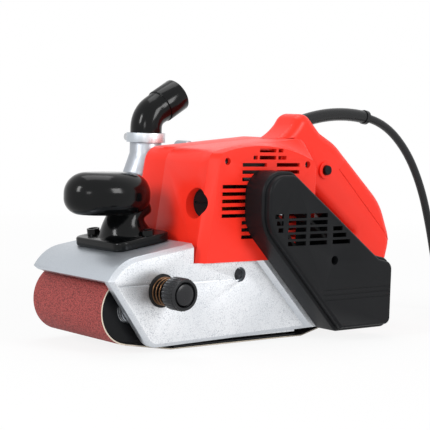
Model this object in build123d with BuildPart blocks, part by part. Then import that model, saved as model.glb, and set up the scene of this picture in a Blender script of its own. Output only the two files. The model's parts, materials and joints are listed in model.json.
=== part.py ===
"""Belt sander built as separate pieces, in millimetres.

X runs from the front (-) to the rear (+), Y from the left (-) to the right (+), Z up.
The origin is on the floor at the middle of the flat sanding face.
"""

import os
from math import cos, pi, radians, sin, tan

from build123d import *

os.makedirs("parts", exist_ok=True)

# Clearances
RUN_FIT = 0.05
SLIDE_FIT = 0.3
FACE_GAP = 0.3

# Sanding belt and rollers
BELT_WIDTH = 100.0
BELT_LOOP = 610.0
BELT_THICK = 1.2
BELT_IN_R = 27.7
BELT_OUT_R = BELT_IN_R + BELT_THICK
AXLE_X = (BELT_LOOP - 2 * pi * BELT_IN_R) / 4
SHOE_DROP = 7.0
AXLE_Z = BELT_OUT_R + SHOE_DROP
ROLLER_R = BELT_IN_R - FACE_GAP
IDLER_CROWN = 0.6
SLEEVE_THICK = 3.0

# Frame casting
WALL_OUT = -62.0
WALL_THICK = 9.0
WALL_IN = WALL_OUT + WALL_THICK
WALL_BEVEL = 3.5
NOSE_ROUND = 16.0
STEP_X = -54.0
STEP_TOP = 89.6
DECK_TOP = 72.8
DECK_THICK = 4.0
DECK_REAR = 126.0
HOOD_RIGHT = 52.0
HOOD_THICK = 4.0
HOOD_R = 37.0
HOOD_SLOPE = 9.0
HOOD_RUN = 58.0
HOOD_TURN = 53.0
HOOD_TIP_Y = 28.0
HOOD_TIP_RISE = 6.0
NOSE_FOOT = (-96.0, 4.6)
REAR_FOOT = (116.0, 9.4)
PAD_RISE = 4.0
PAD_TOP_X = 15.3
PAD_FOOT_X = 76.0
PAD_BEVEL = 3.6
BEAM_FRONT = -60.0
BEAM_REAR = 72.0
BEAM_RIGHT = 42.0
BEAM_PLATE = 5.5
SHOE_SCREW_Y = (-30.0, 30.0)
SHOE_SCREW_DEPTH = 8.0
RIB_TOP = 53.0
RIB_FRONT = -46.0
RIB_THICK = 10.0
RIB_RIGHT = 14.0
RIB_MID = -24.0
RIB_MID_DROP = 10.0
ARM_LEFT = 43.0
ARM_THICK = 8.0
ARM_R = 21.0
ARM_WEB_DROP = 4.0
ARM_RIGHT = ARM_LEFT + ARM_THICK
FRAME_SCREW_AT = (-2.4, 61.2)
FRAME_WELL_R = 6.4
FRAME_WELL = 5.0
FRAME_SCREW_R = 3.0
FRAME_HEAD_R = 5.0
FRAME_SCREW_LENGTH = 3.0
WALL_LINE_LOW = (-130.0, 57.0)
WALL_LINE_HIGH = (-9.0, 58.2)
WALL_LINE = 0.7

# Shoe under the belt
SHOE_THICK = 1.0
CORK_THICK = 3.3
BEAM_BOTTOM = BELT_THICK + SHOE_THICK + CORK_THICK
SHOE_REAR = 78.0
SHOE_NOSE_R = 6.0
SHOE_NOSE_OUT = 5.0
SHOE_WIDTH = 96.0
SHOE_FLANGE = 12.0

# Bearings and shafts
BEARING_R = 13.0
BEARING_W = 8.0
SHAFT_R = 5.0
SHAFT_ROOM = 3.0
IDLER_BEARING_R = 11.0
IDLER_BEARING_W = 7.0
IDLER_AXLE_R = 4.0

# Front roller yoke and belt tension
YOKE_ARM = 3.0
YOKE_LEFT = WALL_IN + 1.5
YOKE_RIGHT = BELT_WIDTH / 2 + 0.5
YOKE_REAR = -72.0
YOKE_BAR = 8.0
YOKE_HALF_H = 10.0
YOKE_EAR_TOP = 58.0
YOKE_EAR_HALF = 8.0
ROLLER_END_GAP = 1.0
ROD_R = 6.0
CROSS_FRONT = -28.0
CROSS_THICK = 6.0
LEVER_X = -40.0
LEVER_Y = 36.0
LEVER_PIN_R = 3.0
LEVER_HUB_R = 11.7
LEVER_LOBE_R = 6.0
LEVER_LOBE_REACH = 12.4
LEVER_TURN = 80.0
LEVER_LENGTH = 62.0
LEVER_HALF_H = 8.0
LEVER_THICK = 6.0

# Tracking knob
TRACK_X = -86.0
TRACK_Z = 52.0
TRACK_SCREW_R = 3.0
TRACK_KNOB_R = 13.5
TRACK_KNOB_W = 14.0
TRACK_KNOB_FACE = -92.0
TRACK_RECESS_R = 14.0
TRACK_RECESS = 2.0
TRACK_SPRING_R = 8.5
TRACK_WIRE_R = 0.9
TRACK_COILS = 4
TRACK_SEAT = 1.2
TRACK_HUB_R = 6.3

# Motor
MOTOR_X = 23.0
MOTOR_Z = 122.0
CORE_R = 22.0
CORE_LEFT = -32.0
CORE_RIGHT = 8.0
AIR_GAP = 0.6
STATOR_R = 41.0
COMMUTATOR_R = 13.0
COMMUTATOR_LEFT = -56.0
COMMUTATOR_RIGHT = -42.0
BRUSH_Y = -49.0
BRUSH_W = 7.0
BRUSH_H = 12.0
COOL_FAN_R = 34.0
COOL_FAN_Y = 20.0
FAN_TIP_GAP = 3.0

# Motor housing
HOUSING_LEFT = WALL_OUT - PAD_RISE
HOUSING_RIGHT = 34.0
HOUSING_FRONT = -50.5
HOUSING_REAR = 86.0
HOUSING_LEAN = 0.149
HOUSING_FRONT_TOP = 166.2
HOUSING_REAR_TOP = 178.1
HOUSING_WALL = 3.0
HOUSING_FRONT_ROUND = 15.0
HOUSING_REAR_ROUND = 10.0
HOUSING_EDGE_ROUND = 6.0
END_CHAMFER = 7.0
END_SHOULDER = -45.0
ARCH_X = 14.0
ARCH_TOP = 172.8
ARCH_R = 151.0
ARCH_FALL = 0.23
ARCH_ROUND = 8.0
VENT_H = 3.2
VENT_PITCH = 6.15
VENT_TOP = 167.3
VENT_DEPTH = 5.0
CAP_R = 12.0
CAP_W = 5.0
CAP_POCKET_R = 13.0
CAP_FLOOR = 12.5
SCREW_R = 2.0
SCREW_HEAD_R = 3.6
SCREW_HEAD_W = 2.4

# Dust fan housing, duct and elbow
FAN_CASE_R = 44.0
FAN_CASE_RIGHT = 66.0
FAN_COVER_W = 4.0
FAN_EAR_R = 5.0
FAN_EAR_ANGLES = (80, 225, 340)
FAN_SCREW_DEPTH = 8.0
DUCT_X = -21.0
DUCT_Y = 52.0
DUCT_R = 14.25
DUCT_WALL = 2.6
DUCT_FOOT_LONG = 21.0
DUCT_FOOT_WIDE = 17.0
DUCT_WIDE_Z = 143.0
DUCT_NECK_Z = 160.0
DUCT_TOP = 173.5
RING_R = 17.4
RING_LOW = 169.6
RING_HIGH = 178.0
ELBOW_LIFT = 4.8
ELBOW_BEND_R = 18.0
ELBOW_TURN = 59.0
ELBOW_STRAIGHT = 7.4
OUTLET_R = 15.3
OUTLET_LENGTH = 22.0

# Drive pulleys and cover
SMALL_PULLEY_R = 9.0
LARGE_PULLEY_R = 20.0
PULLEY_RIGHT = HOUSING_LEFT - 4.0
PULLEY_W = 16.0
DRIVE_BELT_W = 14.0
DRIVE_BELT_THICK = 2.6
COVER_FACE = -95.0
COVER_LEDGE = -89.0
COVER_INSET = 3.0
COVER_WALL = 2.5
COVER_LEFT = -3.0
COVER_REAR = 155.0
COVER_TOP = 150.5
COVER_LOW = 9.0
COVER_SCREW = (77.9, 73.2)
COVER_VENT_TOP = 113.0
COVER_VENT_PITCH = 5.9
COVER_VENT_H = 3.8
COVER_LINE_LOW = 38.0
COVER_LINE_PITCH = 4.4
COVER_LINE_H = 1.6
COVER_LINE = 0.8

# Front grip
GRIP_X = -79.0
GRIP_BASE_LONG = 56.0
GRIP_BASE_WIDE = 68.0
GRIP_BASE_AT = -3.0
GRIP_BASE_H = 8.0
GRIP_LUG_R = 5.5
NECK_R = 17.0
CROWN_X = -99.0
CROWN_LONG = 40.0
CROWN_WIDE = 28.0
CROWN_LOW = 110.0
CROWN_HIGH = 145.5
CROWN_TOP_ROUND = 18.0
CROWN_LOW_ROUND = 14.0

# Rear handle
HANDLE_Y = -12.0
HANDLE_W = 36.0
HANDLE_ROUND = 10.0
OPENING_ROUND = 8.0
HANDLE_WALL = 3.0
BUMP_FRONT = 68.0
BUMP_BEND = (78.5, HOUSING_REAR_TOP + 4.4)
BUMP_SHOULDER = (87.0, HOUSING_REAR_TOP + 11.9)
BUMP_PEAK = (98.3, HOUSING_REAR_TOP + 27.3)
BUMP_REAR = (122.0, HOUSING_REAR_TOP + 4.9)
BACK_TOP = (142.0, HOUSING_REAR_TOP - 5.1)
BACK_LOW = (206.0, 117.5)
HEEL = (221.5, 82.0)
HEEL_LOW = (214.5, 54.0)
ARM_FRONT_Z = 64.0
ARM_FRONT_X = DECK_REAR + 1.0
OPENING_FRONT = 108.0
OPENING_LOW = 83.0
GRIP_EDGE = (118.0, 127.5)
GRIP_FALL = 36.87
SEAM = (144.0, 149.0)
SEAM_FALL = 43.26
HOLLOW_W = 22.0
HOLLOW_LENGTH = 46.0
HOLLOW_DEPTH = 22.0
TRIGGER_START = 4.0
TRIGGER_LENGTH = 38.0
TRIGGER_W = 18.0
TRIGGER_OUT = 9.0
TRIGGER_FLANGE = 4.0
SWITCH_LENGTH = 40.0
SWITCH_H = 11.0
HANDLE_SCREW_Z = (95.0, 119.0)
HANDLE_SCREW_SINK = 8.0
COVER_SCREW_AT = 58.0
COVER_SCREW_SINK = 6.0
COVER_SCREW_LENGTH = 30.0
LOCK_X = 125.0
LOCK_Z = 148.5
LOCK_R = 4.4
LOCK_DEPTH = 10.0
LOCK_OUT = 3.0
LOCK_TRAVEL = 2.5
LOCK_BOSS_R = 8.0
LOCK_BOSS = 2.5

# Cord
CORD_R = 4.0
CORD_FIRST_RUN = 24.0
BOOT_R = 6.0
BOOT_COLLAR_R = 6.8
BOOT_COLLAR_W = 4.0
BOOT_ROOT = (97.9, HOUSING_REAR_TOP + 10.6)
BOOT_ROOT_LENGTH = 9.0
BOOT_RISE = 17.5
BOOT_BEND_R = 195.0
BOOT_TURN = 26.5
COIL_X = 377.0
COIL_Y = -60.0
COIL_R = 44.0
COIL_W = 32.0
COIL_H = 15.0
TIE_W = 14.0
TIE_THICK = 1.5
PLUG_R = 15.0
PLUG_LENGTH = 40.0
PLUG_TAIL = 18.0
PLUG_PIN_R = 2.4
PLUG_PIN_LENGTH = 19.0
PLUG_PIN_SPACING = 19.0


def side(y):
    """Plane across the machine at y: X to the right, Z up, facing left."""
    return Plane(origin=(0, y, 0), x_dir=(1, 0, 0), z_dir=(0, -1, 0))


def front(x):
    """Plane along the machine at x: Y to the right, Z up, facing the rear."""
    return Plane(origin=(x, 0, 0), x_dir=(0, 1, 0), z_dir=(1, 0, 0))


def rear(x):
    """Plane along the machine at x: Y to the left, Z up, facing the front."""
    return Plane(origin=(x, 0, 0), x_dir=(0, -1, 0), z_dir=(-1, 0, 0))


def floor(z):
    """Level plane at height z."""
    return Plane.XY.offset(z)


def corner(sketch, x, z):
    """Corner of a sketch nearest a point."""
    return sketch.vertices().sort_by_distance((x, z))[0]


def disc(plane, centre, radius, length, mode=Mode.ADD):
    """Round bar standing on a plane."""
    with BuildSketch(plane) as outline:
        with Locations(centre):
            Circle(radius)
    extrude(outline.sketch, amount=length, mode=mode)


def ring(plane, centre, outer, inner, length):
    """Round sleeve standing on a plane."""
    with BuildSketch(plane) as outline:
        with Locations(centre):
            Circle(outer)
            Circle(inner, mode=Mode.SUBTRACT)
    extrude(outline.sketch, amount=length)


def block(plane, low, high, length, mode=Mode.ADD):
    """Block standing on a plane between two corners."""
    with BuildSketch(plane) as outline:
        with Locations(((low[0] + high[0]) / 2, (low[1] + high[1]) / 2)):
            Rectangle(high[0] - low[0], high[1] - low[1])
    extrude(outline.sketch, amount=length, mode=mode)


def prism(plane, points, length, mode=Mode.ADD):
    """Straight-sided prism standing on a plane."""
    with BuildSketch(plane) as outline:
        with BuildLine():
            Polyline(*points, close=True)
        make_face()
    extrude(outline.sketch, amount=length, mode=mode)


def left_screw(y, centre, length, head_r=SCREW_HEAD_R, head_w=SCREW_HEAD_W, radius=SCREW_R):
    """Screw put in from the left: head outermost at y, shank running to the right."""
    disc(side(y + head_w), centre, head_r, head_w)
    disc(side(y + head_w + length), centre, radius, length)


def capped_screw(plane, centre, length, head_r=SCREW_HEAD_R, head_w=SCREW_HEAD_W, radius=SCREW_R):
    """Screw whose head starts at a plane and whose shank runs along the plane's normal."""
    disc(plane, centre, head_r, head_w)
    disc(plane.offset(head_w), centre, radius, length)


# Hood line shared by the side wall and the hood
HOOD_DIR = (-cos(radians(HOOD_SLOPE)), -sin(radians(HOOD_SLOPE)))
HOOD_START = (STEP_X + HOOD_RUN * HOOD_DIR[0], STEP_TOP + HOOD_RUN * HOOD_DIR[1])
HOOD_IN = (HOOD_START[0] - HOOD_THICK * HOOD_DIR[1], HOOD_START[1] + HOOD_THICK * HOOD_DIR[0])
LIP_TURN = radians(HOOD_SLOPE + HOOD_TURN)
HOOD_LIP = (
    HOOD_START[0] - HOOD_R * (sin(LIP_TURN) + HOOD_DIR[1]),
    HOOD_START[1] - HOOD_R * (-HOOD_DIR[0] - cos(LIP_TURN)),
)
DECK_LOW = DECK_TOP - DECK_THICK
HOUSING_FALL = (HOUSING_REAR_TOP - HOUSING_FRONT_TOP) / (HOUSING_REAR - HOUSING_FRONT)


def hood_top(x):
    """Height of the hood's sloping top at x."""
    return STEP_TOP + (x - STEP_X) * tan(radians(HOOD_SLOPE))


def housing_top(x):
    """Height of the motor housing's top at x."""
    return HOUSING_FRONT_TOP + (x - HOUSING_FRONT) * HOUSING_FALL


SHOE_SCREW_Z = BEAM_BOTTOM + BEAM_PLATE / 2
SLOPE = radians(HOOD_SLOPE)
GRIP_FOOT = Plane(
    origin=(GRIP_X, 0, hood_top(GRIP_X)),
    x_dir=(cos(SLOPE), 0, sin(SLOPE)),
    z_dir=(-sin(SLOPE), 0, cos(SLOPE)),
)
GRIP_LUGS = ((5.0, -27.0), (-13.0, 27.0))
WALL_REAR = AXLE_X + BEARING_R + 9.0
DECK_WEB = STEP_X - HOOD_THICK
ROD_END = CROSS_FRONT + CROSS_THICK
IDLER_LEFT = YOKE_LEFT + YOKE_ARM + ROLLER_END_GAP
IDLER_RIGHT = YOKE_RIGHT - YOKE_ARM - ROLLER_END_GAP
ROLLER_LEFT = WALL_IN + 4.0
ROLLER_RIGHT = ARM_LEFT - 2.0

# Frame casting: side wall, hood and deck, beam inside the belt, rear bearing arm
with BuildPart() as frame_casting:
    with BuildSketch(side(WALL_IN)) as wall:
        with BuildLine():
            Line((STEP_X, STEP_TOP), HOOD_START)
            lip = JernArc(HOOD_START, HOOD_DIR, HOOD_R, HOOD_TURN)
            Polyline(
                lip @ 1,
                NOSE_FOOT,
                REAR_FOOT,
                (WALL_REAR, AXLE_Z - BEARING_R),
                (WALL_REAR, AXLE_Z + BEARING_R),
                (DECK_REAR, DECK_LOW),
                (DECK_REAR, DECK_TOP),
                (STEP_X, DECK_TOP),
                (STEP_X, STEP_TOP),
            )
        make_face()
        fillet(corner(wall, *NOSE_FOOT), NOSE_ROUND)
    extrude(amount=WALL_THICK)
    bold = frame_casting.faces().sort_by(Axis.Y)[0].edges().filter_by(lambda e: e.center().X < STEP_X - 1)
    chamfer(bold, WALL_BEVEL)
    with BuildSketch(side(HOOD_RIGHT)):
        with BuildLine():
            Line((STEP_X, STEP_TOP), HOOD_START)
            outer_lip = JernArc(HOOD_START, HOOD_DIR, HOOD_R, HOOD_TURN)
            inner_lip = JernArc(HOOD_IN, HOOD_DIR, HOOD_R - HOOD_THICK, HOOD_TURN)
            Line(outer_lip @ 1, inner_lip @ 1)
            Polyline(
                HOOD_IN,
                (DECK_WEB, hood_top(DECK_WEB) - HOOD_THICK / cos(radians(HOOD_SLOPE))),
                (DECK_WEB, DECK_LOW),
                (DECK_REAR, DECK_LOW),
                (DECK_REAR, DECK_TOP),
                (STEP_X, DECK_TOP),
                (STEP_X, STEP_TOP),
            )
        make_face()
    extrude(amount=HOOD_RIGHT - WALL_IN)
    # The lip's lower edge rises towards its open end
    prism(
        front(HOOD_LIP[0] - HOOD_THICK),
        [
            (HOOD_TIP_Y, HOOD_LIP[1] - HOOD_THICK),
            (HOOD_RIGHT, HOOD_LIP[1] - HOOD_THICK + HOOD_TIP_RISE),
            (HOOD_RIGHT, HOOD_LIP[1] - HOOD_R),
            (HOOD_TIP_Y, HOOD_LIP[1] - HOOD_R),
        ],
        HOOD_R,
        Mode.SUBTRACT,
    )
    # Pad that carries the drive cover, bevelled towards the open side wall
    with BuildSketch(side(WALL_OUT)) as pad:
        with BuildLine():
            Polyline(
                (PAD_TOP_X, DECK_TOP),
                (PAD_FOOT_X, REAR_FOOT[1] + 1),
                (REAR_FOOT[0] - 2, REAR_FOOT[1] + 1),
                (WALL_REAR - 3, AXLE_Z - BEARING_R),
                (WALL_REAR - 3, AXLE_Z + BEARING_R),
                (DECK_REAR - 3, DECK_LOW),
                (DECK_REAR - 3, DECK_TOP),
                close=True,
            )
        make_face()
    extrude(amount=PAD_RISE)
    bevel = frame_casting.edges().sort_by_distance(
        ((PAD_TOP_X + PAD_FOOT_X) / 2, HOUSING_LEFT, (DECK_TOP + REAR_FOOT[1] + 1) / 2)
    )[0]
    chamfer(bevel, PAD_BEVEL)
    # Beam inside the belt
    block(
        side(BEAM_RIGHT),
        (BEAM_FRONT, BEAM_BOTTOM),
        (BEAM_REAR, BEAM_BOTTOM + BEAM_PLATE),
        BEAM_RIGHT - WALL_IN,
    )
    block(side(RIB_RIGHT), (RIB_FRONT, BEAM_BOTTOM), (RIB_FRONT + RIB_THICK, RIB_TOP), RIB_RIGHT - WALL_IN)
    block(
        side(ARM_RIGHT), (BEAM_REAR - RIB_THICK, BEAM_BOTTOM), (BEAM_REAR, RIB_TOP), ARM_RIGHT - WALL_IN
    )
    block(side(RIB_MID), (RIB_FRONT, BEAM_BOTTOM), (BEAM_REAR, RIB_TOP - RIB_MID_DROP), RIB_THICK)
    # Rear bearing arm on the open side
    block(
        side(ARM_RIGHT),
        (BEAM_REAR - RIB_THICK, AXLE_Z - ARM_R + ARM_WEB_DROP),
        (AXLE_X, AXLE_Z + ARM_R - ARM_WEB_DROP),
        ARM_THICK,
    )
    disc(side(ARM_RIGHT), (AXLE_X, AXLE_Z), ARM_R, ARM_THICK)
    # Bearing seats, tension rod bore, tracking screw hole and recess
    disc(side(ARM_RIGHT), (AXLE_X, AXLE_Z), SHAFT_R + SHAFT_ROOM, ARM_THICK, Mode.SUBTRACT)
    disc(side(ARM_LEFT + BEARING_W - 1), (AXLE_X, AXLE_Z), BEARING_R, BEARING_W - 1, Mode.SUBTRACT)
    disc(side(WALL_IN), (AXLE_X, AXLE_Z), SHAFT_R + SHAFT_ROOM, WALL_THICK + PAD_RISE, Mode.SUBTRACT)
    disc(side(WALL_IN), (AXLE_X, AXLE_Z), BEARING_R, BEARING_W, Mode.SUBTRACT)
    disc(front(RIB_FRONT), (0, AXLE_Z), ROD_R + RUN_FIT, RIB_THICK, Mode.SUBTRACT)
    disc(side(WALL_IN), (TRACK_X, TRACK_Z), TRACK_SCREW_R + RUN_FIT, WALL_THICK, Mode.SUBTRACT)
    disc(side(WALL_OUT + TRACK_RECESS), (TRACK_X, TRACK_Z), TRACK_RECESS_R, TRACK_RECESS, Mode.SUBTRACT)
    # Frame screw well and the shallow line cast into the wall
    disc(side(WALL_OUT + FRAME_WELL), FRAME_SCREW_AT, FRAME_WELL_R, FRAME_WELL, Mode.SUBTRACT)
    disc(side(WALL_IN), FRAME_SCREW_AT, FRAME_SCREW_R, WALL_THICK, Mode.SUBTRACT)
    block(side(WALL_OUT + WALL_LINE), WALL_LINE_LOW, WALL_LINE_HIGH, WALL_LINE, Mode.SUBTRACT)
    # Holes for the shoe's and the front grip's screws
    for y in SHOE_SCREW_Y:
        disc(front(BEAM_FRONT), (y, SHOE_SCREW_Z), SCREW_R, SHOE_SCREW_DEPTH, Mode.SUBTRACT)
    for at in GRIP_LUGS:
        disc(GRIP_FOOT.offset(-HOOD_THICK), at, SCREW_R, HOOD_THICK, Mode.SUBTRACT)
    # Lever pin seat in the beam
    disc(floor(BEAM_BOTTOM), (LEVER_X, LEVER_Y), LEVER_PIN_R, BEAM_PLATE, Mode.SUBTRACT)
frame_casting.part.label = "frame_casting"
export_step(frame_casting.part, "parts/frame_casting.step")

def loop_outline(plane, extra):
    """Outline of the sanding belt round both rollers and the shoe, a given distance off them."""
    nose_z = BELT_THICK + SHOE_NOSE_R
    rounds = [((-AXLE_X, AXLE_Z), BELT_IN_R), ((AXLE_X, AXLE_Z), BELT_IN_R)]
    rounds += [((x, nose_z), SHOE_NOSE_R) for x in (BEAM_FRONT - SHOE_NOSE_OUT, SHOE_REAR + SHOE_NOSE_OUT)]
    with BuildSketch(plane) as outline:
        for centre, radius in rounds:
            with Locations(centre):
                Circle(radius + extra)
        make_hull()
    return outline.sketch


# Sanding belt: one closed loop, pressed down by the shoe
with BuildPart() as sanding_belt:
    extrude(loop_outline(side(BELT_WIDTH / 2), BELT_THICK), amount=BELT_WIDTH)
    extrude(loop_outline(side(BELT_WIDTH / 2), 0), amount=BELT_WIDTH, mode=Mode.SUBTRACT)
sanding_belt.part.label = "sanding_belt"
export_step(sanding_belt.part, "parts/sanding_belt.step")

# Steel shoe plate on the belt with its turned-up front flange
with BuildPart() as shoe_plate:
    block(
        side(SHOE_WIDTH / 2),
        (BEAM_FRONT - SHOE_THICK, BELT_THICK),
        (SHOE_REAR, BELT_THICK + SHOE_THICK),
        SHOE_WIDTH,
    )
    block(
        side(BEAM_RIGHT),
        (BEAM_FRONT - SHOE_THICK, BELT_THICK),
        (BEAM_FRONT, BELT_THICK + SHOE_FLANGE),
        2 * BEAM_RIGHT,
    )
    for y in SHOE_SCREW_Y:
        disc(front(BEAM_FRONT - SHOE_THICK), (y, SHOE_SCREW_Z), SCREW_R, SHOE_THICK, Mode.SUBTRACT)
shoe_plate.part.label = "shoe_plate"
export_step(shoe_plate.part, "parts/shoe_plate.step")

# Cork pad between the shoe plate and the beam
with BuildPart() as cork_pad:
    block(
        side(BEAM_RIGHT),
        (BEAM_FRONT, BELT_THICK + SHOE_THICK),
        (BEAM_REAR, BEAM_BOTTOM),
        2 * BEAM_RIGHT,
    )
cork_pad.part.label = "cork_pad"
export_step(cork_pad.part, "parts/cork_pad.step")

# Screws that hold the shoe plate's flange to the beam
with BuildPart() as shoe_screws:
    for y in SHOE_SCREW_Y:
        capped_screw(
            front(BEAM_FRONT - SHOE_THICK - SCREW_HEAD_W),
            (y, SHOE_SCREW_Z),
            SHOE_SCREW_DEPTH + SHOE_THICK,
        )
shoe_screws.part.label = "shoe_screws"
export_step(shoe_screws.part, "parts/shoe_screws.step")

# Yoke that carries the front roller
AXLE_FRONT = -AXLE_X
with BuildPart() as roller_yoke:
    block(
        side(YOKE_RIGHT),
        (YOKE_REAR - YOKE_BAR, AXLE_Z - YOKE_HALF_H),
        (YOKE_REAR, AXLE_Z + YOKE_HALF_H),
        YOKE_RIGHT - YOKE_LEFT,
    )
    for y in (YOKE_LEFT + YOKE_ARM, YOKE_RIGHT):
        block(side(y), (AXLE_FRONT, AXLE_Z - YOKE_HALF_H), (YOKE_REAR, AXLE_Z + YOKE_HALF_H), YOKE_ARM)
        disc(side(y), (AXLE_FRONT, AXLE_Z), YOKE_HALF_H, YOKE_ARM)
        disc(side(y), (AXLE_FRONT, AXLE_Z), IDLER_AXLE_R, YOKE_ARM, Mode.SUBTRACT)
    block(
        side(YOKE_LEFT + YOKE_ARM),
        (TRACK_X - YOKE_EAR_HALF, AXLE_Z),
        (TRACK_X + YOKE_EAR_HALF, YOKE_EAR_TOP),
        YOKE_ARM,
    )
    disc(front(YOKE_REAR - YOKE_BAR), (0, AXLE_Z), ROD_R + RUN_FIT, YOKE_BAR, Mode.SUBTRACT)
roller_yoke.part.label = "roller_yoke"
export_step(roller_yoke.part, "parts/roller_yoke.step")

# Axle pressed into the yoke arms
with BuildPart() as idler_axle:
    disc(side(YOKE_RIGHT), (AXLE_FRONT, AXLE_Z), IDLER_AXLE_R, YOKE_RIGHT - YOKE_LEFT)
idler_axle.part.label = "idler_axle"
export_step(idler_axle.part, "parts/idler_axle.step")

# Crowned front roller
IDLER_HALF = (IDLER_RIGHT - IDLER_LEFT) / 2
IDLER_MID = (IDLER_RIGHT + IDLER_LEFT) / 2
with BuildPart() as idler_roller:
    with BuildSketch(Plane(origin=(AXLE_FRONT, IDLER_MID, AXLE_Z), x_dir=(0, 1, 0), z_dir=(1, 0, 0))):
        with BuildLine():
            Polyline(
                (-IDLER_HALF, ROLLER_R - IDLER_CROWN),
                (-IDLER_HALF, IDLER_BEARING_R),
                (IDLER_HALF, IDLER_BEARING_R),
                (IDLER_HALF, ROLLER_R - IDLER_CROWN),
            )
            ThreePointArc(
                (-IDLER_HALF, ROLLER_R - IDLER_CROWN),
                (0, ROLLER_R),
                (IDLER_HALF, ROLLER_R - IDLER_CROWN),
            )
        make_face()
    revolve(axis=Axis((AXLE_FRONT, 0, AXLE_Z), (0, 1, 0)))
idler_roller.part.label = "idler_roller"
export_step(idler_roller.part, "parts/idler_roller.step")

# Ball bearings in the front roller's ends
with BuildPart() as idler_bearings:
    for y in (IDLER_LEFT + IDLER_BEARING_W, IDLER_RIGHT):
        ring(side(y), (AXLE_FRONT, AXLE_Z), IDLER_BEARING_R, IDLER_AXLE_R + RUN_FIT, IDLER_BEARING_W)
idler_bearings.part.label = "idler_bearings"
export_step(idler_bearings.part, "parts/idler_bearings.step")

# Tension rod with the cross bar that the lever's cam pushes back
with BuildPart() as tension_rod:
    disc(front(YOKE_REAR - YOKE_BAR), (0, AXLE_Z), ROD_R, ROD_END - YOKE_REAR + YOKE_BAR)
    block(front(CROSS_FRONT), (-ROD_R, AXLE_Z - ROD_R), (LEVER_Y + 2, AXLE_Z + ROD_R), CROSS_THICK)
tension_rod.part.label = "tension_rod"
export_step(tension_rod.part, "parts/tension_rod.step")

# Coil spring on the tension rod between the yoke and the rib
TENSION_SPRING_R = ROD_R + 2.4
TENSION_WIRE_R = 1.3
SPRING_RUN = RIB_FRONT - YOKE_REAR - 2 * TENSION_WIRE_R - 2 * FACE_GAP
with BuildPart() as tension_spring:
    with BuildLine() as coil_line:
        Helix(
            pitch=SPRING_RUN / 4,
            height=SPRING_RUN,
            radius=TENSION_SPRING_R,
            center=(YOKE_REAR + TENSION_WIRE_R + FACE_GAP, 0, AXLE_Z),
            direction=(1, 0, 0),
        )
    with BuildSketch(Plane(origin=coil_line.line @ 0, z_dir=coil_line.line % 0)):
        Circle(TENSION_WIRE_R)
    sweep(path=coil_line.line, is_frenet=True)
tension_spring.part.label = "tension_spring"
export_step(tension_spring.part, "parts/tension_spring.step")

# Release lever: cam hub and a flat arm that swings out on the open side
LOBE_AT = radians(-LEVER_TURN)
with BuildPart() as release_lever:
    with BuildSketch(floor(AXLE_Z - LEVER_HALF_H)) as hub:
        with Locations((LEVER_X, LEVER_Y)):
            Circle(LEVER_HUB_R)
        with Locations(
            (LEVER_X + LEVER_LOBE_REACH * cos(LOBE_AT), LEVER_Y + LEVER_LOBE_REACH * sin(LOBE_AT))
        ):
            Circle(LEVER_LOBE_R)
        make_hull()
    extrude(amount=2 * LEVER_HALF_H)
    arm_y = LEVER_Y + LEVER_HUB_R - LEVER_THICK
    block(
        floor(AXLE_Z - LEVER_HALF_H),
        (LEVER_X, arm_y),
        (LEVER_X + LEVER_LENGTH, arm_y + LEVER_THICK),
        2 * LEVER_HALF_H,
    )
    prism(
        floor(AXLE_Z - LEVER_HALF_H),
        [
            (LEVER_X + LEVER_LENGTH - 14, arm_y + LEVER_THICK),
            (LEVER_X + LEVER_LENGTH, arm_y),
            (LEVER_X + LEVER_LENGTH + 6, arm_y + LEVER_THICK + 4),
        ],
        2 * LEVER_HALF_H,
    )
    disc(
        floor(AXLE_Z - LEVER_HALF_H),
        (LEVER_X, LEVER_Y),
        LEVER_PIN_R + RUN_FIT,
        2 * LEVER_HALF_H,
        Mode.SUBTRACT,
    )
release_lever.part.label = "release_lever"
export_step(release_lever.part, "parts/release_lever.step")

# Pin that the release lever turns on
with BuildPart() as lever_pin:
    disc(floor(BEAM_BOTTOM), (LEVER_X, LEVER_Y), LEVER_PIN_R, AXLE_Z + LEVER_HALF_H + 2 - BEAM_BOTTOM)
    disc(floor(AXLE_Z + LEVER_HALF_H + FACE_GAP), (LEVER_X, LEVER_Y), LEVER_PIN_R + 2, 2)
    ring(
        floor(BEAM_BOTTOM + BEAM_PLATE),
        (LEVER_X, LEVER_Y),
        LEVER_PIN_R + 3,
        LEVER_PIN_R,
        AXLE_Z - LEVER_HALF_H - FACE_GAP - BEAM_BOTTOM - BEAM_PLATE,
    )
lever_pin.part.label = "lever_pin"
export_step(lever_pin.part, "parts/lever_pin.step")

# Tracking screw through the side wall, bearing on the yoke's ear
with BuildPart() as tracking_screw:
    disc(
        side(YOKE_LEFT - FACE_GAP),
        (TRACK_X, TRACK_Z),
        TRACK_SCREW_R,
        YOKE_LEFT - FACE_GAP - TRACK_KNOB_FACE - TRACK_KNOB_W / 2,
    )
tracking_screw.part.label = "tracking_screw"
export_step(tracking_screw.part, "parts/tracking_screw.step")

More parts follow.
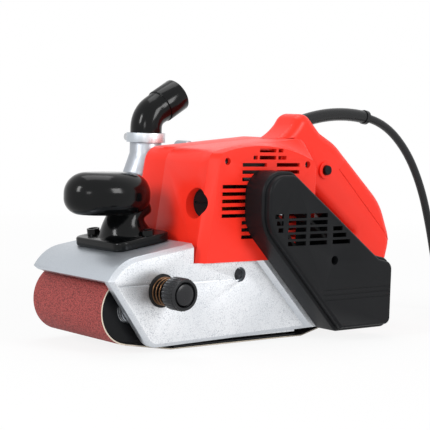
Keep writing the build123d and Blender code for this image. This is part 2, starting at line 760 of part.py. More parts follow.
# Knurled tracking knob with a dished face and a hub inside its spring
KNOB_BACK = TRACK_KNOB_FACE + TRACK_KNOB_W
SEAT_FACE = WALL_OUT + TRACK_RECESS - TRACK_SEAT
HUB_END = SEAT_FACE - FACE_GAP
KNURLS = 28
with BuildPart() as tracking_knob:
    with BuildSketch(side(KNOB_BACK)):
        with Locations((TRACK_X, TRACK_Z)):
            Circle(TRACK_KNOB_R)
            with PolarLocations(TRACK_KNOB_R + 0.3, KNURLS):
                Circle(0.9, mode=Mode.SUBTRACT)
    extrude(amount=TRACK_KNOB_W - 2)
    disc(side(TRACK_KNOB_FACE + 2), (TRACK_X, TRACK_Z), TRACK_KNOB_R - 0.8, 2)
    disc(side(TRACK_KNOB_FACE + 1.2), (TRACK_X, TRACK_Z), TRACK_KNOB_R - 3, 1.2, Mode.SUBTRACT)
    disc(side(HUB_END), (TRACK_X, TRACK_Z), TRACK_HUB_R, HUB_END - KNOB_BACK)
    disc(
        side(HUB_END),
        (TRACK_X, TRACK_Z),
        TRACK_SCREW_R,
        HUB_END - KNOB_BACK + TRACK_KNOB_W / 2,
        Mode.SUBTRACT,
    )
tracking_knob.part.label = "tracking_knob"
export_step(tracking_knob.part, "parts/tracking_knob.step")

# Rubber seat in the wall's recess
with BuildPart() as tracking_seat:
    ring(
        side(WALL_OUT + TRACK_RECESS),
        (TRACK_X, TRACK_Z),
        TRACK_RECESS_R - FACE_GAP,
        TRACK_SCREW_R + FACE_GAP,
        TRACK_SEAT,
    )
tracking_seat.part.label = "tracking_seat"
export_step(tracking_seat.part, "parts/tracking_seat.step")

# Coil spring between the tracking knob and its seat
TRACK_RUN = SEAT_FACE - KNOB_BACK - 2 * TRACK_WIRE_R - FACE_GAP
with BuildPart() as tracking_spring:
    with BuildLine() as turn_line:
        Helix(
            pitch=TRACK_RUN / TRACK_COILS,
            height=TRACK_RUN,
            radius=TRACK_SPRING_R,
            center=(TRACK_X, SEAT_FACE - TRACK_WIRE_R, TRACK_Z),
            direction=(0, -1, 0),
        )
    with BuildSketch(Plane(origin=turn_line.line @ 0, z_dir=turn_line.line % 0)):
        Circle(TRACK_WIRE_R)
    sweep(path=turn_line.line, is_frenet=True)
tracking_spring.part.label = "tracking_spring"
export_step(tracking_spring.part, "parts/tracking_spring.step")

# Screw in the side wall's well
with BuildPart() as frame_screw:
    left_screw(
        WALL_OUT + FRAME_WELL - SCREW_HEAD_W,
        FRAME_SCREW_AT,
        FRAME_SCREW_LENGTH,
        head_r=FRAME_HEAD_R,
        radius=FRAME_SCREW_R,
    )
frame_screw.part.label = "frame_screw"
export_step(frame_screw.part, "parts/frame_screw.step")

# Drive roller: shaft, aluminium core and rubber sleeve
PULLEY_LEFT = PULLEY_RIGHT - PULLEY_W
with BuildPart() as drive_shaft:
    disc(side(ARM_LEFT + BEARING_W - 1), (AXLE_X, AXLE_Z), SHAFT_R, ARM_LEFT + BEARING_W - PULLEY_LEFT + 4)
drive_shaft.part.label = "drive_shaft"
export_step(drive_shaft.part, "parts/drive_shaft.step")

with BuildPart() as drive_roller:
    ring(side(ROLLER_RIGHT), (AXLE_X, AXLE_Z), ROLLER_R - SLEEVE_THICK, SHAFT_R, ROLLER_RIGHT - ROLLER_LEFT)
drive_roller.part.label = "drive_roller"
export_step(drive_roller.part, "parts/drive_roller.step")

with BuildPart() as roller_sleeve:
    ring(side(ROLLER_RIGHT), (AXLE_X, AXLE_Z), ROLLER_R, ROLLER_R - SLEEVE_THICK, ROLLER_RIGHT - ROLLER_LEFT)
roller_sleeve.part.label = "roller_sleeve"
export_step(roller_sleeve.part, "parts/roller_sleeve.step")

# Drive shaft bearings in the side wall and the rear arm
with BuildPart() as drive_bearings:
    ring(side(WALL_IN), (AXLE_X, AXLE_Z), BEARING_R, SHAFT_R + RUN_FIT, BEARING_W)
    ring(side(ARM_LEFT + BEARING_W - 1), (AXLE_X, AXLE_Z), BEARING_R, SHAFT_R + RUN_FIT, BEARING_W - 1)
drive_bearings.part.label = "drive_bearings"
export_step(drive_bearings.part, "parts/drive_bearings.step")


def grooved_pulley(x, z, radius, bore):
    """Ribbed-belt pulley: a sleeve with round grooves."""
    ring(side(PULLEY_RIGHT), (x, z), radius, bore, PULLEY_W)
    for step in range(4):
        y = PULLEY_RIGHT - 3.5 - 3.0 * step
        with BuildSketch(side(y)) as groove:
            with Locations((x, z)):
                Circle(radius)
                Circle(radius - 1.2, mode=Mode.SUBTRACT)
        extrude(groove.sketch, amount=1.4, mode=Mode.SUBTRACT)


with BuildPart() as large_pulley:
    grooved_pulley(AXLE_X, AXLE_Z, LARGE_PULLEY_R, SHAFT_R)
large_pulley.part.label = "large_pulley"
export_step(large_pulley.part, "parts/large_pulley.step")

with BuildPart() as small_pulley:
    grooved_pulley(MOTOR_X, MOTOR_Z, SMALL_PULLEY_R, SHAFT_R)
small_pulley.part.label = "small_pulley"
export_step(small_pulley.part, "parts/small_pulley.step")


def shaft_nut(x, z):
    """Hexagon nut on the end of a pulley shaft."""
    with BuildSketch(side(PULLEY_LEFT)) as outline:
        with Locations((x, z)):
            RegularPolygon(SHAFT_R + 3, 6)
            Circle(SHAFT_R, mode=Mode.SUBTRACT)
    extrude(outline.sketch, amount=3.5)


with BuildPart() as drive_nut:
    shaft_nut(AXLE_X, AXLE_Z)
drive_nut.part.label = "drive_nut"
export_step(drive_nut.part, "parts/drive_nut.step")

with BuildPart() as motor_nut:
    shaft_nut(MOTOR_X, MOTOR_Z)
motor_nut.part.label = "motor_nut"
export_step(motor_nut.part, "parts/motor_nut.step")

# Ribbed drive belt around both pulleys
BELT_RIGHT = PULLEY_RIGHT - (PULLEY_W - DRIVE_BELT_W) / 2


def belt_outline(plane, extra):
    """Outline of an open belt round both pulleys, a given distance off them."""
    with BuildSketch(plane) as outline:
        with Locations((MOTOR_X, MOTOR_Z)):
            Circle(SMALL_PULLEY_R + extra)
        with Locations((AXLE_X, AXLE_Z)):
            Circle(LARGE_PULLEY_R + extra)
        make_hull()
    return outline.sketch


with BuildPart() as drive_belt:
    extrude(belt_outline(side(BELT_RIGHT), FACE_GAP + DRIVE_BELT_THICK), amount=DRIVE_BELT_W)
    extrude(belt_outline(side(BELT_RIGHT), FACE_GAP), amount=DRIVE_BELT_W, mode=Mode.SUBTRACT)
drive_belt.part.label = "drive_belt"
export_step(drive_belt.part, "parts/drive_belt.step")

# Armature on the motor shaft
MOTOR = (MOTOR_X, MOTOR_Z)
DUST_FAN_LEFT = HOUSING_RIGHT + BEARING_W + 2
DUST_FAN_RIGHT = FAN_CASE_RIGHT - FAN_TIP_GAP
DUST_FAN_R = FAN_CASE_R - HOUSING_WALL - FAN_TIP_GAP
with BuildPart() as motor_shaft:
    disc(side(DUST_FAN_RIGHT - 1), MOTOR, SHAFT_R, DUST_FAN_RIGHT - 1 - PULLEY_LEFT + 4)
motor_shaft.part.label = "motor_shaft"
export_step(motor_shaft.part, "parts/motor_shaft.step")

with BuildPart() as armature_core:
    ring(side(CORE_RIGHT), MOTOR, CORE_R, SHAFT_R, CORE_RIGHT - CORE_LEFT)
    for turn in range(12):
        angle = radians(30 * turn)
        slot = Plane(
            origin=(MOTOR_X + (CORE_R - 3) * cos(angle), CORE_RIGHT, MOTOR_Z + (CORE_R - 3) * sin(angle)),
            x_dir=(cos(angle), 0, sin(angle)),
            z_dir=(0, -1, 0),
        )
        block(slot, (-4, -1), (4, 1), CORE_RIGHT - CORE_LEFT, Mode.SUBTRACT)
armature_core.part.label = "armature_core"
export_step(armature_core.part, "parts/armature_core.step")

WINDING_W = 8.0
with BuildPart() as armature_windings:
    ring(side(CORE_LEFT), MOTOR, CORE_R - 3, SHAFT_R, WINDING_W)
    ring(side(CORE_RIGHT + WINDING_W), MOTOR, CORE_R - 3, SHAFT_R, WINDING_W)
armature_windings.part.label = "armature_windings"
export_step(armature_windings.part, "parts/armature_windings.step")

with BuildPart() as commutator:
    ring(side(COMMUTATOR_RIGHT), MOTOR, COMMUTATOR_R, SHAFT_R, COMMUTATOR_RIGHT - COMMUTATOR_LEFT)
commutator.part.label = "commutator"
export_step(commutator.part, "parts/commutator.step")


def bladed_wheel(right, width, radius, blades):
    """Fan wheel: a hub, a back disc on the right and straight radial blades."""
    ring(side(right), MOTOR, 10, SHAFT_R, width)
    ring(side(right), MOTOR, radius, SHAFT_R, 2)
    for blade in range(blades):
        angle = 2 * pi * blade / blades
        stand = Plane(
            origin=(MOTOR_X, right, MOTOR_Z), x_dir=(cos(angle), 0, sin(angle)), z_dir=(0, -1, 0)
        )
        block(stand, (9, -0.8), (radius - 1, 0.8), width)


with BuildPart() as cooling_fan:
    bladed_wheel(COOL_FAN_Y + 8, 10, COOL_FAN_R, 12)
cooling_fan.part.label = "cooling_fan"
export_step(cooling_fan.part, "parts/cooling_fan.step")

with BuildPart() as dust_fan:
    bladed_wheel(DUST_FAN_RIGHT, DUST_FAN_RIGHT - DUST_FAN_LEFT, DUST_FAN_R, 8)
dust_fan.part.label = "dust_fan"
export_step(dust_fan.part, "parts/dust_fan.step")

# Motor shaft bearings in the housing's end wall and the fan housing
END_WALL = HOUSING_LEFT + 1
with BuildPart() as motor_bearings:
    for y in (END_WALL + BEARING_W, HOUSING_RIGHT + BEARING_W):
        ring(side(y), MOTOR, BEARING_R, SHAFT_R + RUN_FIT, BEARING_W)
motor_bearings.part.label = "motor_bearings"
export_step(motor_bearings.part, "parts/motor_bearings.step")

# Field core and the coils on its ends
with BuildPart() as field_core:
    ring(side(CORE_RIGHT), MOTOR, STATOR_R, CORE_R + AIR_GAP, CORE_RIGHT - CORE_LEFT)
    for sign in (-1, 1):
        block(
            side(CORE_RIGHT),
            (MOTOR_X + sign * (CORE_R + 8) - 5, MOTOR_Z - 12),
            (MOTOR_X + sign * (CORE_R + 8) + 5, MOTOR_Z + 12),
            CORE_RIGHT - CORE_LEFT,
            Mode.SUBTRACT,
        )
field_core.part.label = "field_core"
export_step(field_core.part, "parts/field_core.step")

COIL_OUT = STATOR_R - 4
COIL_IN = CORE_R + 3
with BuildPart() as field_coils:
    for y in (CORE_LEFT, CORE_RIGHT + WINDING_W):
        ring(side(y), MOTOR, COIL_OUT, COIL_IN, WINDING_W)
    block(
        side(CORE_RIGHT + WINDING_W),
        (MOTOR_X - COIL_OUT, MOTOR_Z - 9),
        (MOTOR_X + COIL_OUT, MOTOR_Z + 9),
        60,
        Mode.SUBTRACT,
    )
field_coils.part.label = "field_coils"
export_step(field_coils.part, "parts/field_coils.step")

# Brushes, their holders and the slotted caps, front and rear
BRUSH_SIDES = {
    -1: HOUSING_FRONT + HOUSING_LEAN * (MOTOR_Z - DECK_TOP) + CAP_FLOOR,
    1: HOUSING_REAR - CAP_FLOOR,
}
with BuildPart() as carbon_brushes:
    for sign in BRUSH_SIDES:
        start = MOTOR_X + sign * (COMMUTATOR_R + FACE_GAP)
        block(
            front(min(start, start + sign * 24)),
            (BRUSH_Y - BRUSH_W / 2, MOTOR_Z - BRUSH_H / 2),
            (BRUSH_Y + BRUSH_W / 2, MOTOR_Z + BRUSH_H / 2),
            24,
        )
carbon_brushes.part.label = "carbon_brushes"
export_step(carbon_brushes.part, "parts/carbon_brushes.step")

HOLDER_WALL = 1.5
HOLDER_SEAT = 8.0
with BuildPart() as brush_holders:
    for sign, cap_floor in BRUSH_SIDES.items():
        start = MOTOR_X + sign * (COMMUTATOR_R + 2)
        near = min(start, cap_floor)
        run = abs(cap_floor - start)
        block(
            front(near),
            (BRUSH_Y - BRUSH_W / 2 - HOLDER_WALL, MOTOR_Z - BRUSH_H / 2 - HOLDER_WALL),
            (BRUSH_Y + BRUSH_W / 2 + HOLDER_WALL, MOTOR_Z + BRUSH_H / 2 + HOLDER_WALL),
            run,
        )
        block(
            front(near),
            (BRUSH_Y - BRUSH_W / 2, MOTOR_Z - BRUSH_H / 2),
            (BRUSH_Y + BRUSH_W / 2, MOTOR_Z + BRUSH_H / 2),
            run,
            Mode.SUBTRACT,
        )
brush_holders.part.label = "brush_holders"
export_step(brush_holders.part, "parts/brush_holders.step")

with BuildPart() as brush_caps:
    for sign, cap_floor in BRUSH_SIDES.items():
        face = cap_floor + sign * CAP_W
        disc(front(min(cap_floor, face)), (BRUSH_Y, MOTOR_Z), CAP_R, CAP_W)
        block(
            front(min(face, face - sign * 1.2)),
            (BRUSH_Y - CAP_R + 2, MOTOR_Z - 1),
            (BRUSH_Y + CAP_R - 2, MOTOR_Z + 1),
            1.2,
            Mode.SUBTRACT,
        )
brush_caps.part.label = "brush_caps"
export_step(brush_caps.part, "parts/brush_caps.step")

# Space inside the motor housing, less the ribs, posts and bosses that stay
POSTS = ((-23.6, 158.0), (68.8, 155.2), (70.0, 87.0))
POST_R = 5.5
WELL_R = 3.1
WELL = 6.0
RIB_LEFT = CORE_LEFT + 2
SPACE_LEFT = END_SHOULDER + HOUSING_WALL
END_FRONT = HOUSING_FRONT + END_CHAMFER + 16.0
END_REAR = HOUSING_REAR - END_CHAMFER - 8.0
VENT_BAY = 27.0


def arch_z(x, inset):
    """Height of the arch over the housing's left end at x."""
    return ARCH_TOP - ARCH_FALL * inset - (x - ARCH_X) ** 2 / (2 * ARCH_R)


with BuildPart() as housing_space:
    prism(
        side(HOUSING_RIGHT - HOUSING_WALL),
        [
            (HOUSING_FRONT + HOUSING_WALL, DECK_TOP + HOUSING_WALL),
            (HOUSING_REAR - HOUSING_WALL, DECK_TOP + HOUSING_WALL),
            (HOUSING_REAR - HOUSING_WALL, HOUSING_REAR_TOP - 3 * HOUSING_WALL),
            (
                HOUSING_REAR - 5 * HOUSING_WALL,
                housing_top(HOUSING_REAR - 5 * HOUSING_WALL) - HOUSING_WALL - 1,
            ),
            (
                HOUSING_FRONT + 12 * HOUSING_WALL,
                housing_top(HOUSING_FRONT + 12 * HOUSING_WALL) - HOUSING_WALL - 1,
            ),
            (HOUSING_FRONT + HOUSING_LEAN * 72 + HOUSING_WALL, DECK_TOP + 72),
        ],
        HOUSING_RIGHT - HOUSING_WALL - SPACE_LEFT,
    )
    end_depth = SPACE_LEFT - HOUSING_LEFT - HOUSING_WALL
    block(
        side(SPACE_LEFT),
        (END_FRONT, DECK_TOP + HOUSING_WALL),
        (END_REAR, arch_z(END_REAR, END_CHAMFER) - HOUSING_WALL),
        end_depth,
    )
    block(side(SPACE_LEFT), (ARCH_X - VENT_BAY, MOTOR_Z), (ARCH_X + VENT_BAY, VENT_TOP), end_depth)
    for y in (RIB_LEFT + HOUSING_WALL, CORE_RIGHT - 2):
        with BuildSketch(side(y)):
            with Locations((MOTOR_X, MOTOR_Z)):
                Rectangle(200, 200)
                Circle(STATOR_R, mode=Mode.SUBTRACT)
        extrude(amount=HOUSING_WALL, mode=Mode.SUBTRACT)
    for post in POSTS:
        disc(side(HOUSING_RIGHT), post, POST_R, HOUSING_RIGHT - HOUSING_LEFT, Mode.SUBTRACT)
    disc(side(END_WALL + BEARING_W), MOTOR, BEARING_R + 3, BEARING_W, Mode.SUBTRACT)
    for sign, cap_floor in BRUSH_SIDES.items():
        inner = cap_floor - sign * 3
        outer = cap_floor + sign * (CAP_FLOOR + 4)
        disc(
            front(min(inner, outer)),
            (BRUSH_Y, MOTOR_Z),
            CAP_POCKET_R + 3,
            abs(outer - inner),
            Mode.SUBTRACT,
        )


def end_outline(plane, inset):
    """Arched outline of the motor housing's left end, drawn in by an amount at the front and rear."""
    low_x, rear_x = HOUSING_FRONT + inset, HOUSING_REAR - inset
    lean_x = low_x + HOUSING_LEAN * (arch_z(low_x, inset) - DECK_TOP)
    peak = (lean_x, arch_z(lean_x, inset))
    back = (rear_x, arch_z(rear_x, inset))
    with BuildSketch(plane) as outline:
        with BuildLine():
            Polyline(peak, (low_x, DECK_TOP), (rear_x, DECK_TOP), back)
            ThreePointArc(back, (ARCH_X, arch_z(ARCH_X, inset)), peak)
        make_face()
        fillet(corner(outline, *peak), ARCH_ROUND)
        fillet(corner(outline, *back), ARCH_ROUND)
    return outline.sketch


def body_outline(plane):
    """Outline of the motor housing's body, with its straight sloping top."""
    peak = (HOUSING_FRONT + HOUSING_LEAN * (HOUSING_FRONT_TOP - DECK_TOP), HOUSING_FRONT_TOP)
    back = (HOUSING_REAR, HOUSING_REAR_TOP)
    with BuildSketch(plane) as outline:
        with BuildLine():
            Polyline(peak, (HOUSING_FRONT, DECK_TOP), (HOUSING_REAR, DECK_TOP), back, close=True)
        make_face()
        fillet(corner(outline, *peak), HOUSING_FRONT_ROUND)
        fillet(corner(outline, *back), HOUSING_REAR_ROUND)
    return outline.sketch


# Whole motor housing, later split into its two shells
with BuildPart() as housing_whole:
    extrude(body_outline(side(HOUSING_RIGHT)), amount=HOUSING_RIGHT - END_SHOULDER)
    fillet(
        housing_whole.faces().sort_by(Axis.Y)[-1].edges().filter_by(lambda e: e.center().Z > DECK_TOP + 1),
        HOUSING_EDGE_ROUND,
    )
    loft([body_outline(side(END_SHOULDER)), end_outline(side(HOUSING_LEFT + END_CHAMFER), 0)])
    loft([end_outline(side(HOUSING_LEFT + END_CHAMFER), 0), end_outline(side(HOUSING_LEFT), END_CHAMFER)])
    add(housing_space.part, mode=Mode.SUBTRACT)
    # Bearing seat and shaft hole in the end wall, opening towards the dust fan
    disc(side(END_WALL + BEARING_W), MOTOR, BEARING_R, BEARING_W, Mode.SUBTRACT)
    disc(side(HOUSING_LEFT + 2), MOTOR, SHAFT_R + 2, 4, Mode.SUBTRACT)
    disc(side(HOUSING_RIGHT), MOTOR, COOL_FAN_R + 2, HOUSING_WALL + 1, Mode.SUBTRACT)
    # Pockets for the brush caps and the holders behind them
    for sign, cap_floor in BRUSH_SIDES.items():
        outer = cap_floor + sign * (CAP_FLOOR + 14)
        disc(front(min(cap_floor, outer)), (BRUSH_Y, MOTOR_Z), CAP_POCKET_R, CAP_FLOOR + 14, Mode.SUBTRACT)
        inner = cap_floor - sign * HOLDER_SEAT
        block(
            front(min(cap_floor, inner)),
            (BRUSH_Y - BRUSH_W / 2 - HOLDER_WALL, MOTOR_Z - BRUSH_H / 2 - HOLDER_WALL),
            (BRUSH_Y + BRUSH_W / 2 + HOLDER_WALL, MOTOR_Z + BRUSH_H / 2 + HOLDER_WALL),
            HOLDER_SEAT,
            Mode.SUBTRACT,
        )
    # Screw wells in the end wall
    for post in POSTS:
        disc(side(HOUSING_LEFT + WELL), post, WELL_R, WELL, Mode.SUBTRACT)
        disc(side(HOUSING_RIGHT), post, SCREW_R, HOUSING_RIGHT - HOUSING_LEFT, Mode.SUBTRACT)
    # Holes for the handle's screws in the rear wall
    for z in HANDLE_SCREW_Z:
        disc(rear(HOUSING_REAR), (-HANDLE_Y, z), SCREW_R, HOUSING_WALL, Mode.SUBTRACT)
    # Vent slots: rows of through slots, the middle rows with blind ends towards the front
    rows = [((12, 31), (33.5, 39)), ((5, 9.8), (12, 31), (33.5, 43))]
    rows += [((-7, 20.5), (32, 59))] * 2 + [((-7, 57),)] + [((-27, 57),)] * 5 + [((-6, 57),)] * 3
    for row, slots in enumerate(rows):
        z = VENT_TOP - VENT_PITCH * row
        for low, high in slots:
            block(
                side(HOUSING_LEFT + VENT_DEPTH),
                (low, z - VENT_H / 2),
                (high, z + VENT_H / 2),
                VENT_DEPTH,
                Mode.SUBTRACT,
            )
        if 5 <= row <= 9:
            block(side(HOUSING_LEFT + 1.6), (-29.5, z - VENT_H / 2), (-26, z + VENT_H / 2), 2, Mode.SUBTRACT)

# Left and right shells of the motor housing
with BuildPart() as motor_housing:
    add(housing_whole.part)
    split(bisect_by=side(0), keep=Keep.TOP)
motor_housing.part.label = "motor_housing"
export_step(motor_housing.part, "parts/motor_housing.step")

with BuildPart() as housing_cap:
    add(housing_whole.part)
    split(bisect_by=side(0), keep=Keep.BOTTOM)
housing_cap.part.label = "housing_cap"
export_step(housing_cap.part, "parts/housing_cap.step")

# Long screws that clamp the housing shells together
with BuildPart() as housing_screws:
    for post in POSTS:
        left_screw(
            HOUSING_LEFT + WELL - SCREW_HEAD_W,
            post,
            HOUSING_RIGHT - HOUSING_LEFT - WELL - 4,
            head_r=WELL_R,
        )
housing_screws.part.label = "housing_screws"
export_step(housing_screws.part, "parts/housing_screws.step")

# Dust fan housing with its tangential duct and the intake chute from the deck
DUCT_AT = (DUCT_X, DUCT_Y)
DUCT_FLOOR = MOTOR_Z - 6
CHUTE = ((8.0, HOUSING_RIGHT + 4), (38.0, HOOD_RIGHT))


def duct_body(shrink, foot, mode):
    """Duct from its oval foot to its round neck, made smaller by a wall thickness."""
    with BuildSketch(floor(foot)) as oval:
        with Locations(DUCT_AT):
            Ellipse(DUCT_FOOT_LONG - shrink, DUCT_FOOT_WIDE - shrink)
    extrude(oval.sketch, amount=DUCT_WIDE_Z - foot, mode=mode)
    with BuildSketch(floor(DUCT_WIDE_Z)) as wide:
        with Locations(DUCT_AT):
            Ellipse(DUCT_FOOT_LONG - shrink, DUCT_FOOT_WIDE - shrink)
    with BuildSketch(floor(DUCT_NECK_Z)) as neck:
        with Locations(DUCT_AT):
            Circle(DUCT_R - shrink)
    loft([wide.sketch, neck.sketch], mode=mode)
    disc(floor(DUCT_NECK_Z), DUCT_AT, DUCT_R - shrink, DUCT_TOP - DUCT_NECK_Z, mode)


FAN_SCREWS = [
    (MOTOR_X + (FAN_CASE_R + 1) * cos(radians(a)), MOTOR_Z + (FAN_CASE_R + 1) * sin(radians(a)))
    for a in FAN_EAR_ANGLES
]
with BuildPart() as fan_case:
    disc(side(FAN_CASE_RIGHT), MOTOR, FAN_CASE_R, FAN_CASE_RIGHT - HOUSING_RIGHT)
    for centre in FAN_SCREWS:
        disc(side(FAN_CASE_RIGHT), centre, FAN_EAR_R, FAN_SCREW_DEPTH + 4)
    duct_body(0, DUCT_FLOOR, Mode.ADD)
    block(floor(DECK_TOP), CHUTE[0], CHUTE[1], MOTOR_Z - FAN_CASE_R / 2 - DECK_TOP)
    disc(
        side(FAN_CASE_RIGHT),
        MOTOR,
        FAN_CASE_R - HOUSING_WALL,
        FAN_CASE_RIGHT - HOUSING_RIGHT - 4,
        Mode.SUBTRACT,
    )
    duct_body(DUCT_WALL, DUCT_FLOOR + DUCT_WALL, Mode.SUBTRACT)
    block(
        floor(DECK_TOP),
        (CHUTE[0][0] + 2.5, CHUTE[0][1] + 2.5),
        (CHUTE[1][0] - 2.5, CHUTE[1][1] - 2.5),
        MOTOR_Z - FAN_CASE_R / 2 - DECK_TOP,
        Mode.SUBTRACT,
    )
    ring(side(HOUSING_RIGHT + BEARING_W), MOTOR, BEARING_R + 3, BEARING_R, BEARING_W)
    disc(side(HOUSING_RIGHT + BEARING_W), MOTOR, BEARING_R, BEARING_W, Mode.SUBTRACT)
    for centre in FAN_SCREWS:
        disc(side(FAN_CASE_RIGHT), centre, SCREW_R, FAN_SCREW_DEPTH, Mode.SUBTRACT)
fan_case.part.label = "fan_case"
export_step(fan_case.part, "parts/fan_case.step")

# Flat cover on the dust fan housing and its screws
with BuildPart() as fan_cover:
    disc(side(FAN_CASE_RIGHT + FAN_COVER_W), MOTOR, FAN_CASE_R, FAN_COVER_W)
    fillet(fan_cover.faces().sort_by(Axis.Y)[-1].edges(), 2)
    for centre in FAN_SCREWS:
        disc(side(FAN_CASE_RIGHT + FAN_COVER_W), centre, FAN_EAR_R, FAN_COVER_W)
        disc(side(FAN_CASE_RIGHT + FAN_COVER_W), centre, SCREW_R, FAN_COVER_W, Mode.SUBTRACT)
    duct_body(-FACE_GAP, DUCT_FLOOR - FACE_GAP, Mode.SUBTRACT)
fan_cover.part.label = "fan_cover"
export_step(fan_cover.part, "parts/fan_cover.step")

# Clamp ring on the duct's neck with its screw lug
LUG_Y = DUCT_Y + RING_R + 3
RING_MID = (RING_LOW + RING_HIGH) / 2
with BuildPart() as clamp_ring:
    disc(floor(RING_LOW), DUCT_AT, RING_R, RING_HIGH - RING_LOW)
    block(floor(RING_LOW + 1), (DUCT_X - 5, DUCT_Y), (DUCT_X + 5, LUG_Y + 4), RING_HIGH - RING_LOW - 2)
    block(floor(RING_LOW), (DUCT_X - 1, DUCT_Y), (DUCT_X + 1, LUG_Y + 8), RING_HIGH - RING_LOW, Mode.SUBTRACT)
    disc(floor(RING_LOW), DUCT_AT, DUCT_R + RUN_FIT, RING_HIGH - RING_LOW, Mode.SUBTRACT)
    disc(front(DUCT_X - 5), (LUG_Y, RING_MID), SCREW_R, 10, Mode.SUBTRACT)
clamp_ring.part.label = "clamp_ring"
export_step(clamp_ring.part, "parts/clamp_ring.step")

# Swivelling dust elbow with its thicker outlet sleeve
ELBOW_LOW = DUCT_TOP + FACE_GAP
ELBOW_RISE = RING_HIGH + ELBOW_LIFT - ELBOW_LOW
with BuildPart() as dust_elbow:
    with BuildLine(
        Plane(origin=(DUCT_X, DUCT_Y, ELBOW_LOW), x_dir=(1, 0, 0), z_dir=(0, -1, 0)),
    ) as elbow_line:
        Line((0, 0), (0, ELBOW_RISE))
        bend = JernArc((0, ELBOW_RISE), (0, 1), ELBOW_BEND_R, -ELBOW_TURN)
        tip = PolarLine(bend @ 1, ELBOW_STRAIGHT, 90 - ELBOW_TURN)
    with BuildSketch(floor(ELBOW_LOW)):
        with Locations(DUCT_AT):
            Circle(DUCT_R)
            Circle(DUCT_R - DUCT_WALL, mode=Mode.SUBTRACT)
    sweep(path=elbow_line.line)
    ring(
        Plane(origin=elbow_line.line @ 1, z_dir=elbow_line.line % 1),
        (0, 0),
        OUTLET_R,
        DUCT_R - DUCT_WALL,
        OUTLET_LENGTH,
    )
dust_elbow.part.label = "dust_elbow"
export_step(dust_elbow.part, "parts/dust_elbow.step")

# Drive cover over both pulleys
COVER_OUTLINE = [
    ((COVER_LEFT, COVER_TOP), 20.0),
    ((29.9, COVER_TOP), 14.0),
    ((136.5, 74.5), 10.0),
    ((COVER_REAR, 70.5), 11.0),
    ((COVER_REAR, COVER_LOW), 9.0),
    ((88.0, COVER_LOW), 5.0),
    ((COVER_LEFT, 102.0), 34.0),
]


def cover_outline(plane, inset):
    """Outline of the drive cover with rounded corners, drawn in by an amount."""
    with BuildSketch(plane) as outline:
        with BuildLine():
            Polyline(*[point for point, radius in COVER_OUTLINE], close=True)
        make_face()
        for point, radius in COVER_OUTLINE:
            fillet(corner(outline, *point), radius)
        if inset:
            offset(amount=-inset, mode=Mode.REPLACE)
    return outline.sketch


COVER_SCREWS = (COVER_SCREW,)
COVER_POST_R = 5.0
# Back of the drive cover, where neither the frame nor the housing stands behind it
with BuildPart() as cover_back:
    extrude(cover_outline(side(HOUSING_LEFT), COVER_WALL), amount=COVER_WALL)
    prism(
        side(HOUSING_LEFT),
        [
            (HOUSING_REAR, DECK_TOP),
            (WALL_REAR, DECK_TOP),
            (WALL_REAR, 0),
            (COVER_REAR, 0),
            (COVER_REAR, COVER_TOP),
            (HOUSING_REAR, COVER_TOP),
        ],
        COVER_WALL,
        Mode.INTERSECT,
    )

with BuildPart() as drive_cover:
    extrude(cover_outline(side(HOUSING_LEFT), 0), amount=HOUSING_LEFT - COVER_LEDGE)
    fillet(drive_cover.faces().sort_by(Axis.Y)[0].edges(), 2.2)
    extrude(cover_outline(side(COVER_LEDGE), COVER_INSET), amount=COVER_LEDGE - COVER_FACE)
    fillet(drive_cover.faces().sort_by(Axis.Y)[0].edges(), 2.5)
    extrude(
        cover_outline(side(HOUSING_LEFT), COVER_WALL),
        amount=HOUSING_LEFT - COVER_LEDGE - COVER_WALL,
        mode=Mode.SUBTRACT,
    )
    extrude(
        cover_outline(side(HOUSING_LEFT), COVER_INSET + COVER_WALL + 1),
        amount=HOUSING_LEFT - COVER_FACE - COVER_WALL,
        mode=Mode.SUBTRACT,
    )
    add(cover_back.part)
    for centre in COVER_SCREWS:
        disc(side(HOUSING_LEFT), centre, COVER_POST_R, HOUSING_LEFT - COVER_FACE - COVER_WALL)
        disc(side(COVER_FACE + 16), centre, SCREW_HEAD_R + 0.4, 16, Mode.SUBTRACT)
        disc(side(HOUSING_LEFT), centre, SCREW_R, HOUSING_LEFT - COVER_FACE, Mode.SUBTRACT)
    # Vent slots in the face
    for row in range(5):
        z = COVER_VENT_TOP - COVER_VENT_PITCH * row
        columns = [(21.5, 42.3), (46.8, 67.5)]
        if row < 3:
            columns.append((6.0 + 2 * row, 15.6))
        if row > 1:
            columns.append((74.5, 81.0 + 5 * (row - 1)))
        for low, high in columns:
            block(
                side(COVER_FACE + 2 * COVER_WALL),
                (low, z - COVER_VENT_H / 2),
                (high, z + COVER_VENT_H / 2),
                2 * COVER_WALL,
                Mode.SUBTRACT,
            )
    # Shallow grooves round the rear end
    for line in range(3):
        low = COVER_LINE_LOW + COVER_LINE_PITCH * line
        high = low + COVER_LINE_H
        block(side(COVER_FACE + COVER_LINE), (66, low), (COVER_REAR, high), COVER_LINE, Mode.SUBTRACT)
        block(
            front(COVER_REAR - COVER_LINE),
            (COVER_LEDGE, low),
            (HOUSING_LEFT - 8, high),
            COVER_LINE,
            Mode.SUBTRACT,
        )
drive_cover.part.label = "drive_cover"
export_step(drive_cover.part, "parts/drive_cover.step")

# Front grip: screwed foot, flared neck and an oblong crown that overhangs to the front
with BuildPart() as grip_crown:
    with BuildSketch(floor(CROWN_LOW)):
        with Locations((CROWN_X, 0)):
            Ellipse(CROWN_LONG, CROWN_WIDE)
    extrude(amount=CROWN_HIGH - CROWN_LOW)
    fillet(grip_crown.faces().sort_by(Axis.Z)[-1].edges(), CROWN_TOP_ROUND)
    fillet(grip_crown.faces().sort_by(Axis.Z)[0].edges(), CROWN_LOW_ROUND)

